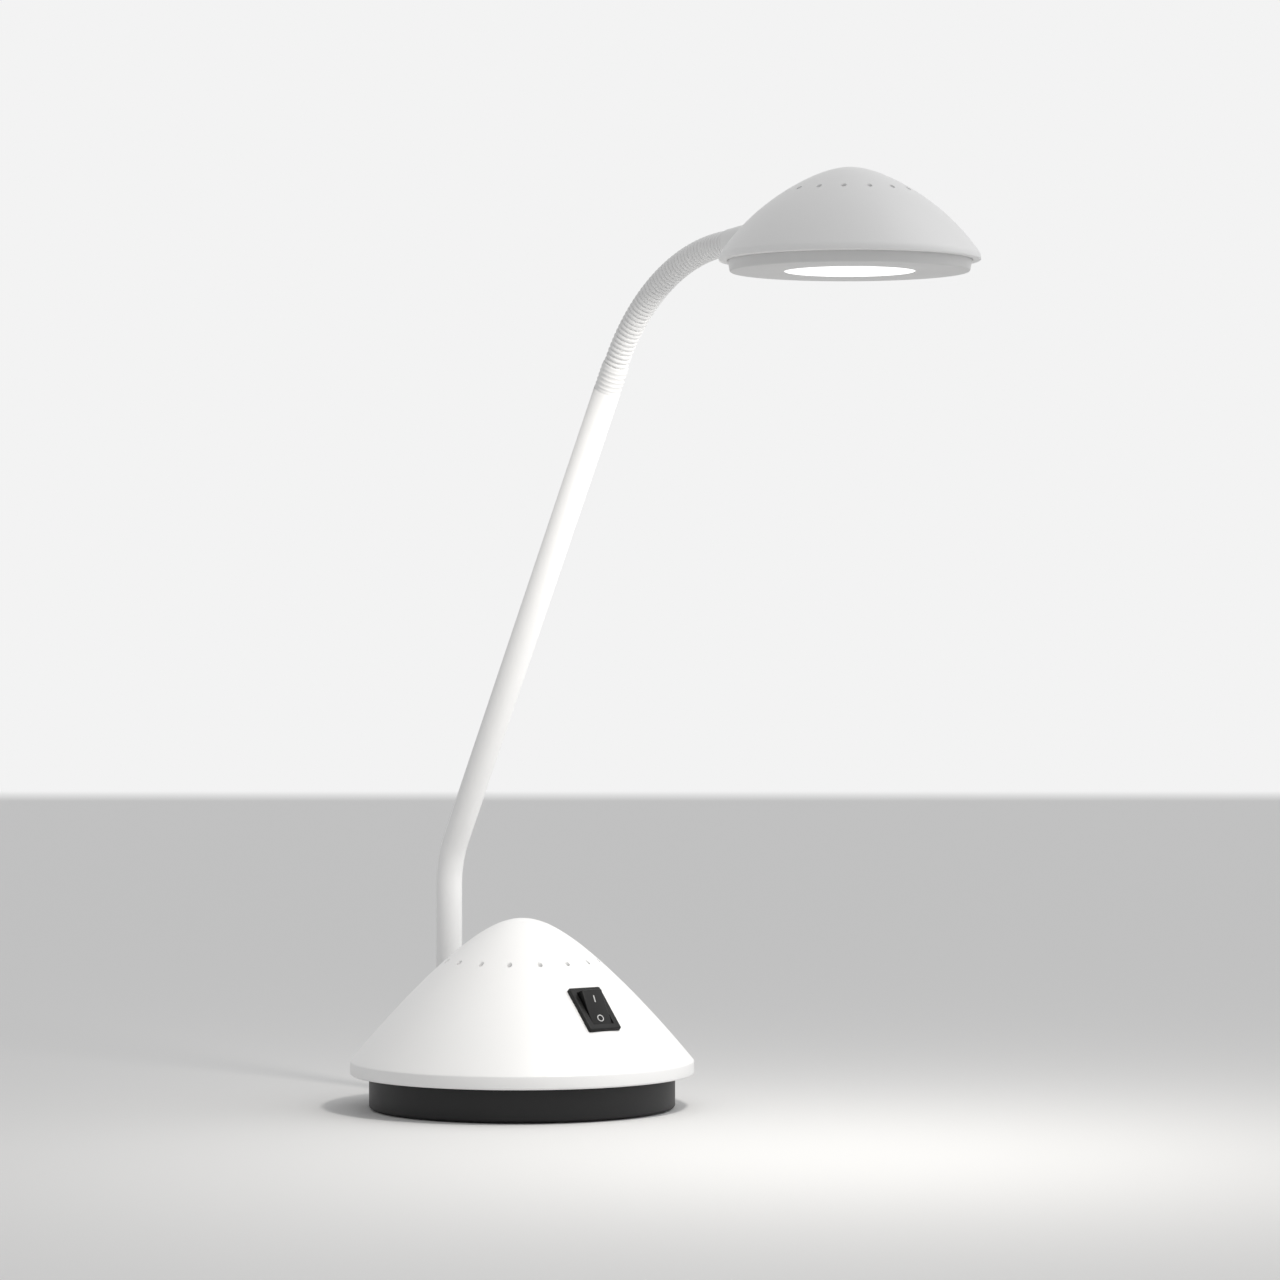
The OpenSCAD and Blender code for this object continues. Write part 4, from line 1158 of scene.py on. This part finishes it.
@dataclass
class ArmTube:
    """The bent tube from the base to the neck's collar.

    Attributes:
        path: The neck's middle line.
        radius: Outer radius.
        wall: Wall of the tube.
        bend_r: Radius of the bend along the middle.
        collar_l: Length of the collar between tube and neck.
        play: Play of the tube in the cover's hole.
        rings: Faint rings on the collar.
        ring_h: Depth of the hollows between them.
        ring_half: Half the width of a ring.
        collar_bore_r: Bore of the collar.
    """

    path: NeckPath
    radius: float = 5.25
    wall: float = 1.5
    bend_r: float = 38.0
    collar_l: float = 11.2
    play: float = 0.3
    rings: int = 5
    ring_h: float = 0.2
    ring_half: float = 0.62
    collar_bore_r: float = 3.75

    def __post_init__(self) -> None:
        """Find the foot, the bend and the upper end from the frame and the neck."""
        low, _ = corners_of("arm_tube")
        self.foot_x = low.x + self.radius
        self.foot_z = low.z
        self.hole_r = self.radius + self.play
        direction = self.path.start_dir
        self.end = self.path.start - direction * self.collar_l
        self.lean = math.atan2(direction.x, direction.z)
        corner_z = self.end.z - (self.end.x - self.foot_x) / math.tan(self.lean)
        self.bend_z = corner_z - self.bend_r * math.tan(self.lean / 2)

    def build(self) -> None:
        """Draw the tube: a straight foot, the bend and the long straight."""
        bm = bmesh.new()
        foot = Matrix.Translation((self.foot_x, 0, self.foot_z))
        bmesh.ops.create_circle(bm, segments=72, radius=self.radius, matrix=foot)
        grown = bmesh.ops.extrude_edge_only(bm, edges=bm.edges[:])
        verts = parts_of(grown["geom"], bmesh.types.BMVert)
        edges = parts_of(grown["geom"], bmesh.types.BMEdge)
        edges = [e for e in edges if all(v in verts for v in e.verts)]
        bmesh.ops.translate(bm, vec=(0, 0, self.bend_z - self.foot_z), verts=verts)
        spun = bmesh.ops.spin(
            bm,
            geom=verts + edges,
            cent=(self.foot_x + self.bend_r, 0, self.bend_z),
            axis=(0, 1, 0),
            dvec=(0, 0, 0),
            angle=self.lean,
            steps=14,
            use_merge=False,
            use_duplicate=False,
        )
        last = parts_of(spun["geom_last"], bmesh.types.BMEdge)
        grown = bmesh.ops.extrude_edge_only(bm, edges=last)
        verts = parts_of(grown["geom"], bmesh.types.BMVert)
        middle = sum((v.co for v in verts), Vector()) / len(verts)
        bmesh.ops.translate(bm, vec=self.end - middle, verts=verts)
        bmesh.ops.remove_doubles(bm, verts=bm.verts, dist=1e-4)
        bmesh.ops.recalc_face_normals(bm, faces=bm.faces)
        tube = to_piece(bm, "arm_tube_bent")
        shell = tube.modifiers.new("wall", "SOLIDIFY")
        shell.thickness = self.wall * MM
        shell.offset = -1.0
        settle(tube, POWDER_COAT, "white_paint", "lamp_base", "arm_tube")

    def build_collar(self) -> None:
        """Mould the collar with its faint rings."""
        pitch = self.collar_l / (self.rings + 1)
        crest_r, hollow_r = self.radius + 0.02, self.radius - self.ring_h
        outline = [Corner(self.collar_bore_r, 0), Corner(crest_r, 0, 0.1)]
        for i in range(1, self.rings + 1):
            outline += [
                Corner(hollow_r, i * pitch - self.ring_half, 0.3),
                Corner(crest_r, i * pitch, 0.5),
                Corner(hollow_r, i * pitch + self.ring_half, 0.3),
            ]
        outline.append(Corner(hollow_r, self.collar_l, 0.45))
        outline.append(Corner(self.collar_bore_r, self.collar_l))
        bm = turned(rounded(outline, 3), 96)
        place = Matrix.Translation(self.end) @ Matrix.Rotation(self.lean, 4, "Y")
        bmesh.ops.transform(bm, matrix=place, verts=bm.verts)
        collar = to_piece(bm, "neck_collar_sleeve")
        settle(collar, SLEEVE_PVC, "white_abs", "lamp_base", "neck_collar")


@dataclass
class FlexibleNeck:
    """The ribbed sleeve of the neck, in one stretch for each of its hinges.

    Attributes:
        path: The neck's middle line.
        rib_r: Radius over the ribs.
        root_r: Radius in the grooves.
        bore_r: Radius of the bore.
        ribs: Ribs on each stretch.
        groove: Width of a groove's floor.
        cuff_ribs: Ribs past the last stretch, up to the head's boss.
        shank_r: Radius of the plain ends.
        shank_bore_r: Bore of the plain ends.
        lower_reach: How far the lower end goes past the collar.
        upper_reach: How far the upper end goes past the boss.
    """

    path: NeckPath
    rib_r: float = 4.8
    root_r: float = 4.0
    bore_r: float = 3.4
    ribs: int = 4
    groove: float = 0.5
    cuff_ribs: int = 2
    shank_r: float = 3.65
    shank_bore_r: float = 1.5
    lower_reach: float = 14.0
    upper_reach: float = 5.5

    @property
    def cuff_l(self) -> float:
        """Length of the cuff between the last stretch and the head's boss."""
        return self.cuff_ribs * self.path.piece_length / self.ribs

    def outline(self, ribs: int) -> list[Vector]:
        """List a straight stretch's wall: the ribs outside and the bore inside.

        Args:
            ribs: Ribs on the stretch.

        Returns:
            A closed loop of points in the XZ plane.
        """
        pitch = self.path.piece_length / self.ribs
        length = ribs * pitch
        half_rib = (pitch - self.groove) / 2
        points: list[Vector] = [Vector((self.root_r, 0, 0))]
        arc_steps = 8
        for i in range(ribs):
            middle = (i + 0.5) * pitch
            for k in range(arc_steps + 1):
                angle = math.pi * k / arc_steps
                bulge = math.sin(angle) ** 0.7 if 0 < k < arc_steps else 0.0
                r = self.root_r + (self.rib_r - self.root_r) * bulge
                points.append(Vector((r, 0, middle - half_rib * math.cos(angle))))
        points.append(Vector((self.root_r, 0, length)))
        points += [Vector((self.bore_r, 0, length * k / 4)) for k in range(4, -1, -1)]
        return points

    def build(self) -> None:
        """Mould each stretch and bend it to the arc."""
        path = self.path
        for k in range(path.count):
            bm = turned(self.outline(self.ribs), 64)
            path.bend(bm)
            bmesh.ops.transform(bm, matrix=path.frame(k), verts=bm.verts)
            bmesh.ops.recalc_face_normals(bm, faces=bm.faces)
            piece = to_piece(bm, f"neck_sleeve_{k + 1}", 50)
            dress(piece, SLEEVE_PVC)
            start = path.frame(k).translation * MM
            end = path.frame(k + 1).translation * MM
            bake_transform(piece)
            node = "neck_foot" if k == 0 else f"neck_link_{k}"
            nodes = [node] if k < path.count - 1 else [node, "neck_tip"]
            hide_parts(*nodes)
            LOG.info("%s: bends between %s and %s", piece.name, *path.bodies[k : k + 2])
        cuff = turned(self.outline(self.cuff_ribs), 64)
        bmesh.ops.transform(cuff, matrix=path.frame(path.count), verts=cuff.verts)
        settle(to_piece(cuff, "neck_cuff", 50), SLEEVE_PVC, "white_sleeve", path.bodies[-1])

    def build_ends(self, collar_l: float, boss_l: float) -> None:
        """Turn the two plain ends, in the tube and in the head's boss.

        Args:
            collar_l: Length of the collar that the lower end passes through.
            boss_l: Length of the boss that the upper end passes through.
        """
        path, shank_r, bore_r, gap = self.path, self.shank_r, self.shank_bore_r, 0.05
        low, high = -collar_l - self.lower_reach, boss_l + self.upper_reach
        ends = (
            ("neck_end_lower", low, -gap, 0, path.bodies[0]),
            ("neck_end_upper", self.cuff_l + gap, high, path.count, path.bodies[-1]),
        )
        for name, z0, z1, k, body in ends:
            outline = rounded(
                [
                    Corner(bore_r, z0, 0.3),
                    Corner(shank_r, z0, 0.4),
                    Corner(shank_r, z1, 0.4),
                    Corner(bore_r, z1, 0.3),
                ]
            )
            bm = turned(outline, 48)
            bmesh.ops.transform(bm, matrix=path.frame(k), verts=bm.verts)
            settle(to_piece(bm, name), ZINC_PLATE, "steel", body)


# ---- Head ------------------------------------------------------------------------------------


@dataclass
class LampHead:
    """The domed head with its neck boss, bezel ring and lit diffuser.

    Attributes:
        path: The neck's middle line.
        cuff_l: Length of the neck's cuff, which the boss starts past.
        lip_h: Height of the shell's upright edge.
        lip_w: Width of the rim's flat underside.
        wall: Wall of the dome.
        vent_r: Radius of the ring of vents.
        vent_d: Diameter of a vent.
        vent_count: Number of vents.
        boss_r1: Radius of the neck boss at its free end.
        boss_r2: Radius of the neck boss inside the head.
        boss_l: Reach of the neck boss past the last stretch.
        bore_r: Bore of the neck boss.
        ring_play: Play between the bezel ring and the shell.
        ring_taper: Narrowing of the ring towards its face.
        ring_t: Thickness of the ring's face.
        ring_back: Height of the ring's wall inside the shell.
        clip_r: Radius at which the ring's clips stand.
        clip_w: Width of a clip.
        flange_w: Width of the diffuser's flange.
        diffuser_play: Play round the diffuser.
    """

    path: NeckPath
    cuff_l: float
    lip_h: float = 2.0
    lip_w: float = 3.1
    wall: float = 2.0
    vent_r: float = 23.5
    vent_d: float = 2.0
    vent_count: int = 16
    boss_r1: float = 5.0
    boss_r2: float = 6.7
    boss_l: float = 50.0
    bore_r: float = 3.75
    ring_play: float = 0.2
    ring_taper: float = 0.7
    ring_t: float = 1.8
    ring_back: float = 2.6
    clip_r: float = 37.3
    clip_w: float = 8.0
    flange_w: float = 2.0
    diffuser_play: float = 0.2

    def __post_init__(self) -> None:
        """Read the outer sizes from the frame."""
        low, high = corners_of("head_shell")
        ring_low, ring_high = corners_of("head_bezel")
        self.x = (ring_low.x + ring_high.x) / 2
        self.face_z = ring_low.z
        self.ring_top = ring_high.z
        self.rim_r = high.x - self.x
        self.rim_z = low.z
        self.dome = Dome(self.rim_r, high.z, slope=0.61, nose=14.1, curl=10.2, power=4)
        disc_low, disc_high = corners_of("diffuser")
        self.disc_z, self.disc_top = disc_low.z, disc_high.z
        self.disc_flange_r = disc_high.x - self.x

    def build_shell(self) -> None:
        """Mould the domed shell with its neck boss and its vents."""
        in_r = self.rim_r - self.lip_w
        outline = rounded(
            [
                *self.dome.outside(self.rim_r, 0.8)[:-1],
                Corner(self.rim_r, self.rim_z + self.lip_h, 3.0),
                Corner(self.rim_r, self.rim_z, 0.4),
                Corner(in_r, self.rim_z, 0.3),
                *self.dome.inside(self.wall, in_r),
            ]
        )
        bm = turned(outline, 192)
        bmesh.ops.translate(bm, vec=(self.x, 0, 0), verts=bm.verts)
        shell = to_piece(bm, "head_shell_dome")
        place = self.path.frame(self.path.count)
        boss = bmesh.new()
        boss_end = place @ Vector((0, 0, self.cuff_l))
        inner_end = place @ Vector((0, 0, self.boss_l))
        add_rod(boss, boss_end, inner_end, self.boss_r1, self.boss_r2, segments=96)
        rim = [e for e in boss.edges if all((v.co - boss_end).length < 6 for v in e.verts)]
        bevel(boss, rim, 0.35, 3)
        combine(shell, boss, "UNION")
        vents = bmesh.new()
        self.dome.vents(vents, self.vent_r, self.vent_count, self.vent_d, self.x)
        bore = bmesh.new()
        ends = [place @ Vector((0, 0, z)) for z in (-1, self.boss_l + 1)]
        add_rod(bore, *ends, self.bore_r)
        combine(shell, bore)
        combine(shell, vents)
        settle(shell, WHITE_ABS, "white_abs", "lamp_head", "head_shell")

    def build_ring(self) -> None:
        """Mould the ring that closes the head round the diffuser."""
        ring_r = self.rim_r - self.lip_w - self.ring_play
        face_r = ring_r - self.ring_taper
        back_z = self.rim_z + self.ring_back
        open_r = self.disc_flange_r - self.flange_w + self.diffuser_play
        seat_z = self.face_z + self.ring_t
        outline = rounded(
            [
                Corner(open_r, self.face_z, 0.3),
                Corner(face_r, self.face_z, 0.7),
                Corner(ring_r, self.rim_z),
                Corner(ring_r, back_z, 0.3),
                Corner(ring_r - 2, back_z, 0.3),
                Corner(ring_r - 2, seat_z),
                Corner(open_r, seat_z, 0.2),
            ]
        )
        bm = turned(outline, 160)
        rise = self.ring_top - seat_z
        stem = (self.clip_r + 0.7, 0, seat_z + rise / 2)
        hook = (self.clip_r - 0.6, 0, self.ring_top - 0.5)
        for turn in (60, 180, 300):
            way = Matrix.Rotation(math.radians(turn), 4, "Z")
            add_block(bm, (1.4, self.clip_w, rise), stem, way)
            add_block(bm, (1.2, self.clip_w, 1), hook, way)
        bmesh.ops.translate(bm, vec=(self.x, 0, 0), verts=bm.verts)
        # The ring's grey is painted shade for the underside of the head.
        settle(to_piece(bm, "head_bezel_ring"), RING_ABS_PAINTED_SHADE, "white_abs", "lamp_head", "head_bezel")

    def build_diffuser(self) -> bpy.types.Object:
        """Mould the lit disc.

        Returns:
            The disc.
        """
        disc_r = self.disc_flange_r - self.flange_w
        seat_z = self.face_z + self.ring_t
        outline = rounded(
            [
                Corner(0, self.disc_z),
                Corner(disc_r, self.disc_z, 0.4),
                Corner(disc_r, seat_z),
                Corner(self.disc_flange_r, seat_z),
                Corner(self.disc_flange_r, self.disc_top),
                Corner(disc_r - 1.5, self.disc_top),
                Corner(disc_r - 1.5, self.disc_z + 1.7),
                Corner(0, self.disc_z + 1.7),
            ]
        )
        bm = turned(outline, 128)
        bmesh.ops.translate(bm, vec=(self.x, 0, 0), verts=bm.verts)
        disc = to_piece(bm, "diffuser_disc")
        lit = replace(OPAL_ACRYLIC, centre=(self.x, 0.0, 0.0))
        settle(disc, lit, "opal", "lamp_head", "diffuser")
        return disc


def dress_inside(frame: dict[str, Any]) -> None:
    """Dress the nodes that keep their own meshes.

    Args:
        frame: The loaded frame.
    """
    leads = [name for name in frame["nodes"] if name.startswith("neck_lead_")]
    finishes = {**INSIDE, **dict.fromkeys(leads, INSIDE["arm_lead"])}
    for name, (finish, slot) in finishes.items():
        dress(frame["nodes"][name], finish)


# ---- Studio ----------------------------------------------------------------------------------


def seen_directly(tree: bpy.types.NodeTree) -> bpy.types.NodeSocket:
    """Tell what the camera, a gloss or a clear piece shows from what only lights the lamp.

    Args:
        tree: The node tree to add to.

    Returns:
        A socket that is 1 where the surface is seen.
    """
    path = add_node(tree, "ShaderNodeLightPath", {})
    seen = path.outputs["Is Camera Ray"]
    for ray in ("Is Glossy Ray", "Is Transmission Ray"):
        either = {0: seen, 1: path.outputs[ray]}
        seen = add_node(tree, "ShaderNodeMath", either, operation="MAXIMUM").outputs[0]
    return seen


@dataclass
class Studio:
    """Floor, surroundings, lights and camera.

    Attributes:
        eye: The camera's place.
        heading: Its level direction, as X and Y.
        focal_px: Its focal length in pixels of the photograph.
        frame_px: Width of the photograph.
        sensor_mm: Width of the camera's sensor.
        floor_end: Distance from the camera to the floor's far edge.
        fade: Length of the floor's fade into the background at that edge.
        floor_colour: The floor's colour as the camera sees it.
        floor_tone: The colour of the light that the floor throws back.
        paper: The background's colour as the camera sees it.
        ambient: The light that comes from all round.
        key_from: Where the wide soft key comes from.
        key_spread_deg: How wide it is.
        key_strength: Its strength.
        lamp_power: Power of the light under the lamp's diffuser, in watts.
        lamp_r: Radius of that light.
        lamp_colour: Its colour, as linear red, green and blue.
    """

    eye: tuple[float, float, float] = (1434.9, -1030.5, 185.6)
    heading: tuple[float, float] = (-0.7965, 0.6046)
    focal_px: float = 4450.0
    frame_px: float = 1280.0
    sensor_mm: float = 36.0
    floor_end: float = 5470.0
    fade: float = 340.0
    floor_colour: str = "E0E0E0"
    floor_tone: str = "DCDCDC"
    paper: str = "F3F3F3"
    ambient: float = 0.5
    key_from: tuple[float, float, float] = (0.6, 0.8, 0.75)
    key_spread_deg: float = 70.0
    key_strength: float = 1.0
    lamp_power: float = 0.63
    lamp_r: float = 23.0
    lamp_colour: tuple[float, float, float] = (1.0, 0.975, 0.93)

    def build_camera(self) -> None:
        """Set the camera level at the photograph's place."""
        data = bpy.data.cameras.new("camera")
        data.sensor_width = self.sensor_mm
        data.lens = self.focal_px / self.frame_px * data.sensor_width
        data.clip_end = 100.0
        camera = bpy.data.objects.new("camera", data)
        camera.location = Vector(self.eye) * MM
        ahead = Vector((*self.heading, 0.0)).normalized()
        camera.rotation_euler = ahead.to_track_quat("-Z", "Y").to_euler()
        bpy.context.scene.collection.objects.link(camera)
        bpy.context.scene.camera = camera

    def build_floor(self) -> None:
        """Lay a plain square floor whose far edge meets the background."""
        ahead = Vector((*self.heading, 0.0)).normalized()
        reach = self.floor_end + Vector(self.eye).dot(ahead)
        bm = bmesh.new()
        bmesh.ops.create_grid(
            bm,
            x_segments=1,
            y_segments=1,
            size=reach,
            matrix=Matrix.Rotation(math.atan2(ahead.y, ahead.x), 4, "Z"),
        )
        floor = to_piece(bm, "floor")
        material = bpy.data.materials.new("matt floor")
        material.use_nodes = True
        tree = material.node_tree
        shader = tree.nodes["Principled BSDF"]
        tones = {0: seen_directly(tree), 6: linear(self.floor_tone), 7: linear(self.floor_colour)}
        tone = add_node(tree, "ShaderNodeMix", tones, data_type="RGBA")
        tree.links.new(tone.outputs[2], shader.inputs["Base Color"])
        shader.inputs["Roughness"].default_value = 0.9
        shader.inputs["Specular IOR Level"].default_value = 0.1
        where = add_node(tree, "ShaderNodeTexCoord", {}).outputs["Object"]
        way = {0: where, 1: tuple(ahead)}
        along = add_node(tree, "ShaderNodeVectorMath", way, operation="DOT_PRODUCT")
        fading = {
            "Value": along.outputs["Value"],
            "From Min": (reach - self.fade) * MM,
            "From Max": reach * MM,
        }
        far = add_node(tree, "ShaderNodeMapRange", fading).outputs[0]
        glow = {"Color": linear(self.paper), "Strength": 1.0}
        paper = add_node(tree, "ShaderNodeEmission", glow).outputs[0]
        layers = {0: far, 1: shader.outputs[0], 2: paper}
        mix = add_node(tree, "ShaderNodeMixShader", layers)
        tree.links.new(mix.outputs[0], tree.nodes["Material Output"].inputs["Surface"])
        floor.data.materials.append(material)

    def build_world(self) -> None:
        """Light all round evenly, and show plain paper behind the lamp."""
        world = bpy.data.worlds.new("studio")
        world.use_nodes = True
        tree = world.node_tree
        tree.nodes.clear()
        light, paper = (
            add_node(tree, "ShaderNodeBackground", {"Color": colour, "Strength": strength})
            for colour, strength in (((1, 1, 1, 1), self.ambient), (linear(self.paper), 1.0))
        )
        layers = {0: seen_directly(tree), 1: light.outputs[0], 2: paper.outputs[0]}
        mix = add_node(tree, "ShaderNodeMixShader", layers)
        add_node(tree, "ShaderNodeOutputWorld", {"Surface": mix.outputs[0]})
        bpy.context.scene.world = world

    def build_lights(self, head: LampHead, disc: bpy.types.Object) -> None:
        """Add the wide soft key and the light of the lamp's own diffuser.

        Args:
            head: The head, for the diffuser's place.
            disc: The lit disc, which the lamp's light follows.
        """
        soft = bpy.data.lights.new("key", "SUN")
        soft.angle = math.radians(self.key_spread_deg)
        soft.energy = self.key_strength
        key = bpy.data.objects.new("key", soft)
        key.rotation_euler = Vector(self.key_from).to_track_quat("Z", "Y").to_euler()
        bpy.context.scene.collection.objects.link(key)
        own = bpy.data.lights.new("lamp_light", "AREA")
        own.shape = "DISK"
        own.size = 2 * self.lamp_r * MM
        own.energy = self.lamp_power
        own.color = self.lamp_colour
        light = bpy.data.objects.new("lamp_light", own)
        light.location = Vector((head.x, 0, head.face_z - 0.6)) * MM
        bpy.context.scene.collection.objects.link(light)
        light.parent = disc
        bpy.context.scene.view_settings.view_transform = "Standard"


# ---- Assembly --------------------------------------------------------------------------------


def main() -> None:
    """Build the lamp around its frame, then the studio round the lamp."""
    logging.basicConfig(level=logging.INFO, format="%(name)s %(message)s")
    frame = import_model()
    path = NeckPath(frame["joints"])
    tube = ArmTube(path)
    base = LampBase()
    switch = RockerSwitch(base.dome)
    base.build_cover(switch, tube)
    base.build_pan()
    base.build_pad()
    base.build_inlet()
    switch.build_housing()
    switch.build_rocker()
    switch.build_marks()
    tube.build()
    tube.build_collar()
    neck = FlexibleNeck(path)
    head = LampHead(path, neck.cuff_l)
    neck.build()
    neck.build_ends(tube.collar_l, head.boss_l)
    head.build_shell()
    head.build_ring()
    disc = head.build_diffuser()
    dress_inside(frame)
    studio = Studio()
    studio.build_camera()
    studio.build_floor()
    studio.build_world()
    studio.build_lights(head, disc)


if __name__ == "__main__":
    main()
